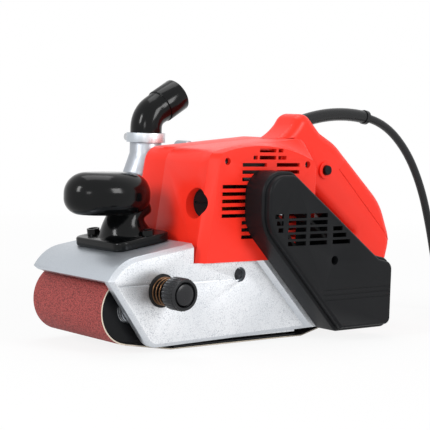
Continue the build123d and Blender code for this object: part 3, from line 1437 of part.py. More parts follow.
with BuildPart() as front_grip:
    with BuildSketch(GRIP_FOOT):
        with Locations((GRIP_BASE_AT, 0)):
            RectangleRounded(GRIP_BASE_LONG, GRIP_BASE_WIDE, 9)
    extrude(amount=GRIP_BASE_H)
    fillet(front_grip.faces().sort_by(Axis.Z)[-1].edges(), 2)
    sections = [
        (GRIP_BASE_H - 1, NECK_R + 8.2),
        (GRIP_BASE_H + 3, NECK_R + 4.2),
        (GRIP_BASE_H + 10, NECK_R + 0.9),
    ]
    flare = []
    for rise, radius in sections:
        with BuildSketch(GRIP_FOOT.offset(rise)) as level:
            Circle(radius)
        flare.append(level.sketch)
    for z, radius in ((CROWN_LOW - 1, NECK_R), (CROWN_LOW + 12, NECK_R + 1)):
        with BuildSketch(floor(z)) as level:
            with Locations((GRIP_X + 0.5, 0)):
                Circle(radius)
        flare.append(level.sketch)
    loft(flare)
    for at in GRIP_LUGS:
        disc(GRIP_FOOT.offset(GRIP_BASE_H - 1), at, GRIP_LUG_R, GRIP_LUG_R)
    for at in GRIP_LUGS:
        disc(GRIP_FOOT.offset(GRIP_BASE_H - 2), at, SCREW_HEAD_R + 0.3, 20, Mode.SUBTRACT)
        disc(GRIP_FOOT, at, SCREW_R, GRIP_BASE_H, Mode.SUBTRACT)
    add(grip_crown.part)
front_grip.part.label = "front_grip"
export_step(front_grip.part, "parts/front_grip.step")


# Rear handle: bump for the cord, sloping grip and lower arm, later split along its seam
FALL = radians(GRIP_FALL)
GRIP_PLANE = Plane(
    origin=(GRIP_EDGE[0], HANDLE_Y, GRIP_EDGE[1]),
    x_dir=(cos(FALL), 0, -sin(FALL)),
    z_dir=(sin(FALL), 0, cos(FALL)),
)
SEAM_TURN = radians(SEAM_FALL)
SEAM_PLANE = Plane(
    origin=(SEAM[0], HANDLE_Y, SEAM[1]),
    x_dir=(cos(SEAM_TURN), 0, -sin(SEAM_TURN)),
    z_dir=(sin(SEAM_TURN), 0, cos(SEAM_TURN)),
)
OPENING_TOP = GRIP_EDGE[1] + (GRIP_EDGE[0] - OPENING_FRONT) * tan(FALL)
OPENING_REAR = GRIP_EDGE[0] + (GRIP_EDGE[1] - OPENING_LOW) / tan(FALL)
HANDLE_LEFT = HANDLE_Y - HANDLE_W / 2
HANDLE_RIGHT = HANDLE_Y + HANDLE_W / 2
BOOT_TILT = radians(BOOT_RISE)


def boot_tube(extra):
    """Curved sleeve round the cord, from its root in the handle to its free end."""
    with BuildLine(side(HANDLE_Y)) as boot_line:
        root = PolarLine(BOOT_ROOT, BOOT_ROOT_LENGTH, BOOT_RISE)
        JernArc(root @ 1, (cos(BOOT_TILT), sin(BOOT_TILT)), BOOT_BEND_R, -BOOT_TURN)
    with BuildSketch(Plane(origin=boot_line.line @ 0, z_dir=boot_line.line % 0)) as section:
        Circle(BOOT_R + extra)
    sweep(section.sketch, path=boot_line.line)
    return boot_line.line


with BuildPart() as boot_socket:
    boot_tube(RUN_FIT)

with BuildPart() as handle_whole:
    with BuildSketch(side(HANDLE_RIGHT)) as loop:
        with BuildLine():
            ThreePointArc((BUMP_FRONT, housing_top(BUMP_FRONT)), BUMP_BEND, BUMP_SHOULDER)
            Polyline(
                BUMP_SHOULDER,
                BUMP_PEAK,
                BUMP_REAR,
                BACK_TOP,
                BACK_LOW,
                HEEL,
                HEEL_LOW,
                (ARM_FRONT_X, ARM_FRONT_Z),
                (ARM_FRONT_X, DECK_TOP),
                (HOUSING_REAR, DECK_TOP),
                (HOUSING_REAR, HOUSING_REAR_TOP),
                (BUMP_FRONT, housing_top(BUMP_FRONT)),
            )
        make_face()
        for point, radius in ((BUMP_PEAK, 12), (BUMP_REAR, 16), (BACK_TOP, 50)):
            fillet(corner(loop, *point), radius)
        for point, radius in ((BACK_LOW, 60), (HEEL, 26), (HEEL_LOW, 12)):
            fillet(corner(loop, *point), radius)
    extrude(amount=HANDLE_W)
    for face in handle_whole.faces().filter_by(Axis.Y):
        rim = face.edges().filter_by(
            lambda e: e.center().X > ARM_FRONT_X + 1 or e.center().Z > HOUSING_REAR_TOP + 1
        )
        fillet(rim, HANDLE_ROUND)
    with BuildSketch(side(HANDLE_RIGHT)) as gap:
        with BuildLine():
            Polyline(
                (OPENING_FRONT, OPENING_TOP),
                (OPENING_REAR, OPENING_LOW),
                (OPENING_FRONT, OPENING_LOW),
                close=True,
            )
        make_face()
        fillet(corner(gap, OPENING_FRONT, OPENING_TOP), 4)
        fillet(corner(gap, OPENING_FRONT, OPENING_LOW), 11)
        fillet(corner(gap, OPENING_REAR, OPENING_LOW), 5)
    extrude(amount=HANDLE_W, mode=Mode.SUBTRACT)
    for face in handle_whole.faces().filter_by(Axis.Y):
        if face.inner_wires():
            fillet(face.inner_wires()[0].edges(), OPENING_ROUND)
    # Boss round the lock button and its blind hole
    disc(side(HANDLE_LEFT), (LOCK_X, LOCK_Z), LOCK_BOSS_R, LOCK_BOSS)
    disc(
        side(HANDLE_LEFT + LOCK_DEPTH + LOCK_TRAVEL + FACE_GAP),
        (LOCK_X, LOCK_Z),
        LOCK_R + SLIDE_FIT,
        LOCK_DEPTH + LOCK_TRAVEL + FACE_GAP + LOCK_BOSS,
        Mode.SUBTRACT,
    )
    # Hollow for the switch and the slot that the trigger slides in
    block(
        GRIP_PLANE.offset(HANDLE_WALL),
        (0, -HOLLOW_W / 2),
        (HOLLOW_LENGTH, HOLLOW_W / 2),
        HOLLOW_DEPTH,
        Mode.SUBTRACT,
    )
    block(
        GRIP_PLANE.offset(-HANDLE_WALL),
        (TRIGGER_START - SLIDE_FIT, -TRIGGER_W / 2 - SLIDE_FIT),
        (TRIGGER_START + TRIGGER_LENGTH + SLIDE_FIT, TRIGGER_W / 2 + SLIDE_FIT),
        2 * HANDLE_WALL,
        Mode.SUBTRACT,
    )
    # Socket for the cord's boot
    add(boot_socket.part, mode=Mode.SUBTRACT)
    # Screw holes: two to the motor housing, one to the back cover
    for z in HANDLE_SCREW_Z:
        disc(rear(OPENING_FRONT), (-HANDLE_Y, z), SCREW_HEAD_R + SLIDE_FIT, HANDLE_SCREW_SINK, Mode.SUBTRACT)
        disc(rear(OPENING_FRONT), (-HANDLE_Y, z), SCREW_R, OPENING_FRONT - HOUSING_REAR, Mode.SUBTRACT)
    disc(GRIP_PLANE, (COVER_SCREW_AT, 0), SCREW_HEAD_R + SLIDE_FIT, COVER_SCREW_SINK, Mode.SUBTRACT)
    disc(GRIP_PLANE, (COVER_SCREW_AT, 0), SCREW_R, COVER_SCREW_SINK + COVER_SCREW_LENGTH, Mode.SUBTRACT)

# Everything behind the seam of the grip
with BuildPart() as behind_seam:
    block(SEAM_PLANE, (0, -HANDLE_W), (4 * HANDLE_W, HANDLE_W), 2 * HANDLE_W)

with BuildPart() as handle_body:
    add(handle_whole.part)
    add(behind_seam.part, mode=Mode.SUBTRACT)
handle_body.part.label = "handle_body"
export_step(handle_body.part, "parts/handle_body.step")

with BuildPart() as handle_cover:
    add(handle_whole.part)
    add(behind_seam.part, mode=Mode.INTERSECT)
handle_cover.part.label = "handle_cover"
export_step(handle_cover.part, "parts/handle_cover.step")

# Trigger: finger face outside the grip, flange inside it
with BuildPart() as trigger:
    block(
        GRIP_PLANE.offset(-TRIGGER_OUT),
        (TRIGGER_START, -TRIGGER_W / 2),
        (TRIGGER_START + TRIGGER_LENGTH, TRIGGER_W / 2),
        TRIGGER_OUT + HANDLE_WALL + FACE_GAP,
    )
    fillet(trigger.faces().sort_by(Axis(GRIP_PLANE.origin, GRIP_PLANE.z_dir))[0].edges(), 3)
    block(
        GRIP_PLANE.offset(HANDLE_WALL + FACE_GAP),
        (TRIGGER_START - 2, -HOLLOW_W / 2 + SLIDE_FIT),
        (TRIGGER_START + TRIGGER_LENGTH + 2, HOLLOW_W / 2 - SLIDE_FIT),
        TRIGGER_FLANGE,
    )
trigger.part.label = "trigger"
export_step(trigger.part, "parts/trigger.step")

# Button that locks the trigger in
with BuildPart() as lock_button:
    disc(
        side(HANDLE_LEFT + LOCK_DEPTH), (LOCK_X, LOCK_Z), LOCK_R, LOCK_DEPTH + LOCK_BOSS + LOCK_OUT
    )
    fillet(lock_button.faces().sort_by(Axis.Y)[0].edges(), 0.8)
lock_button.part.label = "lock_button"
export_step(lock_button.part, "parts/lock_button.step")

# Switch in the grip's hollow
SWITCH_LOW = HANDLE_WALL + HOLLOW_DEPTH - SWITCH_H
with BuildPart() as switch_body:
    block(
        GRIP_PLANE.offset(SWITCH_LOW),
        (TRIGGER_START, -HOLLOW_W / 2),
        (TRIGGER_START + SWITCH_LENGTH, HOLLOW_W / 2),
        SWITCH_H,
    )
switch_body.part.label = "switch_body"
export_step(switch_body.part, "parts/switch_body.step")

# Screws of the fan cover, clamp ring, drive cover, front grip and rear handle
with BuildPart() as case_screws:
    for centre in FAN_SCREWS:
        disc(side(FAN_CASE_RIGHT + FAN_COVER_W + SCREW_HEAD_W), centre, SCREW_HEAD_R, SCREW_HEAD_W)
        disc(side(FAN_CASE_RIGHT + FAN_COVER_W), centre, SCREW_R, FAN_COVER_W + FAN_SCREW_DEPTH)
    capped_screw(front(DUCT_X - 5 - SCREW_HEAD_W), (LUG_Y, RING_MID), 10, head_r=SCREW_HEAD_R - 0.4)
    for centre in COVER_SCREWS:
        left_screw(COVER_FACE + 16 - SCREW_HEAD_W, centre, HOUSING_LEFT - COVER_FACE - 16)
    for at in GRIP_LUGS:
        disc(GRIP_FOOT.offset(GRIP_BASE_H - 2), at, SCREW_HEAD_R, SCREW_HEAD_W)
        disc(GRIP_FOOT.offset(-HOOD_THICK), at, SCREW_R, HOOD_THICK + GRIP_BASE_H - 2)
    for z in HANDLE_SCREW_Z:
        capped_screw(
            rear(OPENING_FRONT - HANDLE_SCREW_SINK + SCREW_HEAD_W),
            (-HANDLE_Y, z),
            OPENING_FRONT - HANDLE_SCREW_SINK - HOUSING_REAR + HOUSING_WALL,
        )
    capped_screw(GRIP_PLANE.offset(COVER_SCREW_SINK - SCREW_HEAD_W), (COVER_SCREW_AT, 0), COVER_SCREW_LENGTH)
case_screws.part.label = "case_screws"
export_step(case_screws.part, "parts/case_screws.step")

# Sleeve that the cord comes out of, with its collar
with BuildPart() as cord_boot:
    boot_line = boot_tube(0)
    disc(
        Plane(origin=boot_line @ 1, z_dir=boot_line % 1).offset(-BOOT_COLLAR_W),
        (0, 0),
        BOOT_COLLAR_R,
        BOOT_COLLAR_W,
    )
cord_boot.part.label = "cord_boot"
export_step(cord_boot.part, "parts/cord_boot.step")
BOOT_END = boot_line @ 1

# Cord from the boot down to the floor and into the coil
OUTER_TURN = COIL_R + COIL_W / 2 - 2 * CORD_R
CORD_LOW = TIE_THICK + CORD_R + 0.5
ROUTE = [
    tuple(BOOT_END),
    tuple(BOOT_END + (boot_line % 1) * CORD_FIRST_RUN),
    (254.0, -12.5, 168.0),
    (279.0, -12.0, 131.0),
    (295.0, -11.5, 90.0),
    (307.0, -10.5, 52.0),
    (321.0, -9.0, 23.0),
    (346.0, COIL_Y + OUTER_TURN, CORD_LOW),
    (COIL_X, COIL_Y + OUTER_TURN, CORD_LOW),
]


def bend_radii(route):
    """Largest tangent arcs that the route's runs leave room for, one for each inner point."""
    radii = []
    for before, here, after in zip(route, route[1:], route[2:]):
        first = Vector(*here) - Vector(*before)
        second = Vector(*after) - Vector(*here)
        turn = radians(first.get_angle(second))
        radii.append(0.45 * min(first.length, second.length) / tan(turn / 2))
    return radii


RADII = bend_radii(ROUTE)
print("cord bend radii", [round(r, 1) for r in RADII])
with BuildPart() as cord:
    with BuildLine() as cord_line:
        FilletPolyline(*ROUTE, radius=RADII)
    with BuildSketch(Plane(origin=cord_line.line @ 0, z_dir=cord_line.line % 0)):
        Circle(CORD_R)
    sweep(path=cord_line.line)
cord.part.label = "cord"
export_step(cord.part, "parts/cord.step")
cord_length = cord_line.wire().length
print("cord length", cord_length, "volume ratio", cord.part.volume / (pi * CORD_R**2 * cord_length))

# Put-away length of the cord: the outer shape of its flat coil
COIL_AT = (COIL_X, COIL_Y)
TAIL_Z = TIE_THICK + COIL_H - CORD_R - 1
TAIL_Y = COIL_Y - OUTER_TURN
with BuildPart() as cord_coil:
    ring(floor(TIE_THICK), COIL_AT, COIL_R + COIL_W / 2, COIL_R - COIL_W / 2, COIL_H)
    add(cord.part, mode=Mode.SUBTRACT)
    disc(rear(COIL_X), (-TAIL_Y, TAIL_Z), CORD_R, COIL_R, Mode.SUBTRACT)
cord_coil.part.label = "cord_coil"
export_step(cord_coil.part, "parts/cord_coil.step")

# Tie round the coil
with BuildPart() as cord_tie:
    ring(
        floor(0),
        COIL_AT,
        COIL_R + COIL_W / 2 + TIE_THICK,
        COIL_R - COIL_W / 2 - TIE_THICK,
        COIL_H + 2 * TIE_THICK,
    )
    with BuildSketch(floor(TIE_THICK)) as inside:
        with Locations(COIL_AT):
            Circle(COIL_R + COIL_W / 2)
            Circle(COIL_R - COIL_W / 2, mode=Mode.SUBTRACT)
    extrude(inside.sketch, amount=COIL_H, mode=Mode.SUBTRACT)
    block(
        floor(0),
        (COIL_X, COIL_Y - TIE_W / 2),
        (COIL_X + 2 * COIL_R, COIL_Y + TIE_W / 2),
        2 * COIL_H,
        Mode.INTERSECT,
    )
cord_tie.part.label = "cord_tie"
export_step(cord_tie.part, "parts/cord_tie.step")

# Plug beside the coil: tapered tail, body and pins
PLUG_REAR = COIL_X - COIL_R + COIL_W / 4
TAIL_SPAN = COIL_X - PLUG_REAR
with BuildPart() as plug_body:
    disc(rear(COIL_X), (-TAIL_Y, TAIL_Z), CORD_R, TAIL_SPAN)
    sections = []
    for x, z, radius in ((PLUG_REAR, TAIL_Z, CORD_R), (PLUG_REAR - PLUG_TAIL, PLUG_R, PLUG_R - 4)):
        with BuildSketch(rear(x)) as level:
            with Locations((-TAIL_Y, z)):
                Circle(radius)
        sections.append(level.sketch)
    loft(sections)
    disc(rear(PLUG_REAR - PLUG_TAIL), (-TAIL_Y, PLUG_R), PLUG_R, PLUG_LENGTH - PLUG_TAIL)
plug_body.part.label = "plug_body"
export_step(plug_body.part, "parts/plug_body.step")

PLUG_FACE = PLUG_REAR - PLUG_LENGTH
with BuildPart() as plug_pins:
    for offset_y in (-PLUG_PIN_SPACING / 2, PLUG_PIN_SPACING / 2):
        disc(rear(PLUG_FACE), (-TAIL_Y + offset_y, PLUG_R), PLUG_PIN_R, PLUG_PIN_LENGTH)
plug_pins.part.label = "plug_pins"
export_step(plug_pins.part, "parts/plug_pins.step")
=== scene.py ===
"""Belt sander: its finishes, fine detail and mains cord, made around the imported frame."""

import json
import math

import bmesh
import bpy
from bpy.props import FloatProperty, FloatVectorProperty, IntProperty, PointerProperty
from mathutils import Matrix, Vector

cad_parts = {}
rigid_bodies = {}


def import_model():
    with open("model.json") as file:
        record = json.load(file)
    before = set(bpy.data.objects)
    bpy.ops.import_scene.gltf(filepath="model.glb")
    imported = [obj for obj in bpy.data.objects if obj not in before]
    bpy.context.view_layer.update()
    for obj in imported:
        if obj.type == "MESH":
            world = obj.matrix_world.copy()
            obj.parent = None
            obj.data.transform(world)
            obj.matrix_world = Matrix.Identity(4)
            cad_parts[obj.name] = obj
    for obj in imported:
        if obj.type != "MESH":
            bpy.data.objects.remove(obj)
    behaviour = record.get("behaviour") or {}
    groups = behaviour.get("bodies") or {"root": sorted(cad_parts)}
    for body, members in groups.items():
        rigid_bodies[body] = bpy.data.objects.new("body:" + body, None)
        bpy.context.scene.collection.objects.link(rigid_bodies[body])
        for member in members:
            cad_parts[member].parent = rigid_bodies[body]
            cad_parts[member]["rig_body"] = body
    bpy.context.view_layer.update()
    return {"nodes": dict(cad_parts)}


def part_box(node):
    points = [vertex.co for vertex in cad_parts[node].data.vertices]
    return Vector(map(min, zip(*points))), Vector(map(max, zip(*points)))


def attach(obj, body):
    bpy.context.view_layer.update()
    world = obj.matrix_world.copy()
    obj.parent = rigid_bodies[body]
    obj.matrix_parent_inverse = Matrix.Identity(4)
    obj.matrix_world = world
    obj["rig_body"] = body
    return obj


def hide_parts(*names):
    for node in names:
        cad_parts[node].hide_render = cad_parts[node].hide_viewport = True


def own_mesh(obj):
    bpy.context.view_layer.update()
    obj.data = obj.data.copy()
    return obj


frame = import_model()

bl_info = {
    "name": "Belt sander",
    "version": (1, 0, 0),
    "blender": (4, 5, 0),
    "location": "3D View > Sidebar > Sander",
    "description": "Finishes, fine detail and mains cord of a hand-held belt sander",
    "category": "Object",
}

MM = 0.001

# Merging and rounding of the shells taken over from the frame
WELD = 0.01 * MM
FLAT_ANGLE = math.radians(0.6)
SHARP_ANGLE = math.radians(38)

# Rounding of small pieces' edges, in millimetres
SCREW_ROUNDING = 0.25
KNOB_ROUNDING = 0.3
SPRING_ROUNDING = 0.2

# How far a normal leans on the handle's parting face, on the belt's cut edges and in the knob's dish
SEAM_LEAN = 0.6
EDGE_LEAN = 0.3
DISH_LEAN = 0.99

# Rings of the domed middle in the tracking knob's dish: radius and rise in millimetres
KNOB_FACE = ((10.2, -0.8), (8.9, 0.0), (8.6, 1.7), (6.5, 0.5), (3.0, 0.2))

# Corners of the black baffle behind the drive cover's vents, in millimetres: it shuts the view through them
# and is a dark sheet painted in for the shade on the red wall behind
SHADE_BAFFLE = ((57.0, -66.8, 76.0), (92.0, -66.2, 108.0))

# Height below which the belt lies on the pad, in millimetres; below it the belt's cloth is painted black as
# shade
FLAT_RUN = 6.0

# Sizes that each screw's point carries
SCREW_SIZES = ("head_radius", "head_depth", "shank_radius", "reach")

# Shares of a screw's head: where its rim starts, where its shank starts, and the shank of a bare head
HEAD_RIM = 0.9
SHANK_START = 0.9
BARE_SHANK = 0.4

# Depth below a screw's head at which a point belongs to its shank
BELOW_HEAD = 0.1 * MM

# Depth of the cutter for a cross recess, as a share of the head's depth
RECESS_DEPTH = 1.2

# Mains cord: the free run from the sleeve down to the floor, in metres
CORD_ROUTE = [
    (0.195625, -0.0120, 0.198030),
    (0.219330, -0.0120, 0.194276),
    (0.254, -0.0125, 0.168),
    (0.279, -0.0120, 0.131),
    (0.295, -0.0115, 0.090),
    (0.307, -0.0105, 0.052),
    (0.321, -0.0090, 0.023),
    (0.346, -0.0080, 0.006),
]

# Turns of the put-away coil: the end of its lower layer, the start of its upper one, the climb and the last
COIL_IN = 2.5
COIL_OUT = 3.0
CLIMB_FROM = 2.2
CLIMB_TO = 2.9
COIL_LAST = 4.5

# Studio lamps: name, place and size in metres, and power in watts
LAMPS = (
    ("key", (-1.9, -0.1, 1.0), (0.4, 0.8), 18),
    ("fill", (0.5, -1.9, 0.9), (0.6, 0.8), 18),
    ("top", (0.2, 0.4, 2.0), (1.2, 1.2), 12),
    ("front", (-1.2, -1.0, 0.4), (0.3, 0.3), 2),
)
LAMP_AIM = Vector((0.03, 0.0, 0.09))

# Strength of the soft light from all round
AMBIENT = 0.45

# Floor: half its side, and where its plain white starts and is whole, in metres
FLOOR_HALF = 12.0
WHITE_FROM = 0.35
WHITE_TO = 1.5

# Share of plain white where it starts, the level of the paper under it, and that white
WHITE_NEAR = 0.86
FLOOR_GREY = 0.9
PURE_WHITE = (1.0, 1.0, 1.0, 1.0)

# Sockets of a Mix node that blends colours: its share, its two colours and its result
MIX_SHARE = 0
MIX_FIRST = 6
MIX_SECOND = 7
MIX_RESULT = 2

# Strength of the finer marks in each noise pattern, and the range that most of its values lie in
FINE_MARKS = 0.55
NOISE_LOW = 0.3
NOISE_HIGH = 0.7

# Refraction of ABS, nylon and PVC
PLASTIC_IOR = 1.53

# Broad drift of tone in the mouldings and the castings, in millimetres
PLASTIC_DRIFT = 45.0
CAST_DRIFT = 70.0

# Pits in the castings' skin, drawn coarser than real so that they show, and their patches, in millimetres
PIT_SIZE = 0.95
PIT_PATCH = 9.0

# Grains of the belt, its grains painted bright as glints and the rib of its cloth, in millimetres, all
# coarser than real
GRAIN_SIZE = 1.1
BRIGHT_GRAIN = 1.6
CLOTH_RIB = 6.0

# Bare metals: name, colour, roughness, and the size and depth of their marks in millimetres.
# The marks are drawn coarser than real so that they show.
METALS = (
    # Zinc plate on steel: bright and cool
    ("bright_zinc_steel", "#C9CBCE", 0.28, 2.0, 0.01),
    # Oil-blackened steel: nearly black, with a soft metal shine
    ("blackened_steel", "#3B3C3F", 0.38, 1.2, 0.01),
    # Turned aluminium: pale, with a fine satin
    ("turned_aluminium", "#D3D5D8", 0.3, 1.5, 0.01),
    # Drawn brass: warm yellow and smooth
    ("spring_brass", "#A37A38", 0.25, 1.0, 0.005),
    # Drawn bronze wire: dark brown, partly its own bronze and partly painted shade from the knob it sits
    # behind, with a thin bright line along each turn
    ("bronze_wire_and_shade", "#6A4E38", 0.3, 1.0, 0.005),
    # Enamelled copper: orange-red, slightly dulled by its coat
    ("enamelled_copper", "#B5622F", 0.35, 0.8, 0.05),
    # Stamped iron sheets: mid grey and dull
    ("laminated_iron", "#77787A", 0.45, 0.7, 0.03),
)

# Dull finishes: name, colour, roughness, and the size and depth of their mottle in millimetres.
# The mottle is drawn coarser than real so that it shows.
DULL_FINISHES = (
    # Pressed carbon: dark grey and dry
    ("carbon_graphite", "#2A2A2C", 0.6, 0.8, 0.02),
    # Canvas rubbed with graphite: black, without shine; on the belt's cloth along the flat run it is painted
    # shade
    ("graphite_canvas_and_shade", "#1B1B1D", 0.7, 1.0, 0.05),
    # Baked varnish on the coils: dark brown, with a wet gleam
    ("coil_varnish", "#2E1C12", 0.35, 0.8, 0.05),
    # Moulded rubber: black and matt
    ("vulcanised_rubber", "#1C1C1D", 0.8, 1.2, 0.05),
    # Moulded polyamide: dark grey, half matt
    ("grey_polyamide", "#3A3C3F", 0.5, 2.0, 0.02),
)

# Shells whose edges are rounded: node, piece, finish, rounding in millimetres, and slot
SHELLS = (
    ("motor_housing", "motor_shell_left", "moulded_red_abs", 0.5, "red_plastic"),
    ("housing_cap", "motor_shell_right", "moulded_red_abs", 0.5, "red_plastic"),
    ("handle_body", "rear_handle", "moulded_red_abs", 0.9, "red_plastic"),
    ("handle_cover", "rear_handle_back", "moulded_red_abs", 0.9, "red_plastic"),
    ("frame_casting", "cast_frame", "shot_blasted_aluminium", 1.0, "cast_alloy"),
    ("fan_case", "fan_housing", "sand_cast_aluminium", 0.8, "cast_alloy"),
    ("fan_cover", "fan_lid", "sand_cast_aluminium", 0.6, "cast_alloy"),
    ("clamp_ring", "spout_clamp", "shot_blasted_aluminium", 0.5, "cast_alloy"),
    ("drive_cover", "belt_cover", "moulded_black_nylon", 0.6, "black_plastic"),
    ("front_grip", "front_knob", "polished_black_abs", 0.6, "gloss_black"),
    ("dust_elbow", "dust_spout", "polished_black_abs", 0.6, "gloss_black"),
    ("sanding_belt", "abrasive_belt", "aluminium_oxide_grit", 0.2, "abrasive_cloth"),
)

# Screws that are made anew: node, piece and finish
SCREWS = (
    ("housing_screws", "housing_fixings", "blackened_steel"),
    ("frame_screw", "frame_fixing", "blackened_steel"),
    ("case_screws", "case_fixings", "bright_zinc_steel"),
)

# Finish of each node that keeps its own mesh
PLAIN_FINISHES = {
    "bright_zinc_steel": [
        "roller_yoke",
        "idler_axle",
        "idler_bearings",
        "tension_rod",
        "release_lever",
        "lever_pin",
        "tracking_screw",
        "drive_shaft",
        "drive_bearings",
        "drive_nut",
        "motor_nut",
        "motor_shaft",
        "motor_bearings",
        "shoe_screws",
    ],
    "turned_aluminium": ["drive_roller", "large_pulley", "small_pulley"],
    "spring_brass": ["brush_holders", "plug_pins"],
    "blackened_steel": ["shoe_plate"],
    "enamelled_copper": ["commutator"],
    "coil_varnish": ["armature_windings", "field_coils"],
    "laminated_iron": ["armature_core", "field_core"],
    "carbon_graphite": ["carbon_brushes"],
    "graphite_canvas_and_shade": ["cork_pad"],
    "vulcanised_rubber": ["roller_sleeve", "drive_belt", "tracking_seat"],
    "grey_polyamide": ["cooling_fan", "dust_fan", "switch_body"],
    "extruded_black_pvc": ["cord_boot", "plug_body", "cord_tie"],
    "moulded_black_nylon": ["brush_caps", "trigger", "lock_button", "idler_roller"],
}


def linear(code):
    """Linear colour of an sRGB hex value."""
    levels = [int(code[i : i + 2], 16) / 255 for i in (1, 3, 5)]
    return [v / 12.92 if v <= 0.04045 else ((v + 0.055) / 1.055) ** 2.4 for v in levels]


def paint(code, name, description):
    """Colour setting whose default is an sRGB hex value."""
    return FloatVectorProperty(
        name=name, description=description, subtype="COLOR", size=3, min=0, max=1, default=linear(code)
    )


class SanderView(bpy.types.PropertyGroup):
    """Where the photograph was taken from."""

    azimuth: FloatProperty(
        name="Azimuth",
        description="Turn of the camera to the left of square-on",
        default=math.radians(40.08),
        subtype="ANGLE",
    )
    elevation: FloatProperty(
        name="Elevation",
        description="Height of the camera above the horizon",
        default=math.radians(4.22),
        subtype="ANGLE",
    )
    roll: FloatProperty(
        name="Roll", description="Tilt of the picture", default=math.radians(1.88), subtype="ANGLE"
    )
    distance: FloatProperty(
        name="Distance", description="From the camera to its target", default=1.25258, unit="LENGTH"
    )
    target: FloatVectorProperty(
        name="Target",
        description="Point in the middle of the picture",
        default=(0.01969, 0.0, 0.10683),
        subtype="XYZ",
        unit="LENGTH",
    )
    lens: FloatProperty(
        name="Lens", description="Focal length in millimetres", default=117.16, unit="CAMERA"
    )


class SanderSizes(bpy.types.PropertyGroup):
    """Sizes of the fine detail."""

    cord_diameter: FloatProperty(
        name="Cord diameter", description="Across the cord's sheath", default=0.008, unit="LENGTH"
    )
    coil_points: IntProperty(
        name="Points a turn", description="Control points in each turn of the coil", default=24
    )
    spring_wire: FloatProperty(
        name="Spring wire",
        description="Across the wire of the tracking spring",
        default=0.0014,
        unit="LENGTH",
    )
    spring_turns: FloatProperty(
        name="Spring turns", description="Turns of the tracking spring", default=3.5
    )
    spring_radius: FloatProperty(
        name="Spring radius",
        description="Middle of the tracking spring's wire",
        default=0.0112,
        unit="LENGTH",
    )
    seam_gap: FloatProperty(
        name="Seam gap",
        description="Parting line between the handle and its back",
        default=0.0006,
        unit="LENGTH",
    )
    recess_length: FloatProperty(
        name="Recess length",
        description="Arms of a screw's cross recess, as a share of its head",
        default=0.62,
        subtype="FACTOR",
    )
    recess_width: FloatProperty(
        name="Recess width",
        description="Width of those arms, as a share of the head",
        default=0.26,
        subtype="FACTOR",
    )


class SanderColours(bpy.types.PropertyGroup):
    """Colours of the finishes."""

    shell_red: paint("#F9301F", "Shell red", "Motor housing and rear handle")
    cover_black: paint("#161719", "Cover black", "Belt drive cover")
    gloss_black: paint("#08090A", "Gloss black", "Front grip and dust elbow")
    satin_black: paint("#17181B", "Satin black", "Tracking knob")
    sheath_black: paint("#121315", "Sheath black", "Cord, sleeve and plug")
    # Silver and grey pairs: the grey is painted shade on tops and slopes, and the walls also drift towards
    # it at random
    cast_silver: paint("#EFF1F4", "Cast silver", "Flat walls of the castings")
    cast_shade_and_drift_grey: paint("#B9BFC6", "Cast grey", "Tops and slopes of the castings")
    duct_silver: paint("#BFC4CA", "Duct silver", "Sides of the dust case and its duct")
    duct_shade_and_drift_grey: paint("#A2A7AE", "Duct grey", "Tops and slopes of the dust case")
    cast_speck: paint("#ACB1B8", "Cast speck", "Pits in the castings' skin")
    grit_red: paint("#B9504C", "Grit red", "Abrasive face of the belt")
    grit_dark: paint("#6E2827", "Grit dark", "Gaps between the grains")
    # Painted glint: grains drawn lighter, as if catching the light
    grit_painted_glint: paint("#D08C78", "Grit bright", "Grains that catch the light")
    cloth: paint("#D9CDBB", "Belt cloth", "Cloth back and edges of the belt")


def view_settings():
    return bpy.context.scene.sander_view


def sizes():
    return bpy.context.scene.sander_sizes


def colours():
    return bpy.context.scene.sander_colours


def add_node(tree, kind, inputs=None, output=None, **settings):
    """Add a node with its settings, set or link its inputs, and give back the node or one of its outputs."""
    node = tree.nodes.new(kind)
    for name, value in settings.items():
        setattr(node, name, value)
    for name, value in (inputs or {}).items():
        if isinstance(value, bpy.types.NodeSocket):
            tree.links.new(value, node.inputs[name])
        else:
            node.inputs[name].default_value = value
    return node if output is None else node.outputs[output]


def per_mm(size):
    """Scale of a pattern whose marks are this many millimetres across."""
    return 1 / (size * MM)


def rgba(colour, share=1.0):
    """Opaque colour, darkened or lightened by a share and held below white."""
    return (*(min(1.0, level * share) for level in colour), 1.0)


def start_material(name):
    """Empty material: its tree, and the object coordinates to draw patterns in."""
    material = bpy.data.materials.new(name)
    material.use_nodes = True
    tree = material.node_tree
    tree.nodes.clear()
    return tree, add_node(tree, "ShaderNodeTexCoord", output="Object")


def finish_material(tree, inputs):
    """End a material with one surface that takes these inputs."""
    surface = add_node(tree, "ShaderNodeBsdfPrincipled", inputs, "BSDF")
    add_node(tree, "ShaderNodeOutputMaterial", {"Surface": surface})


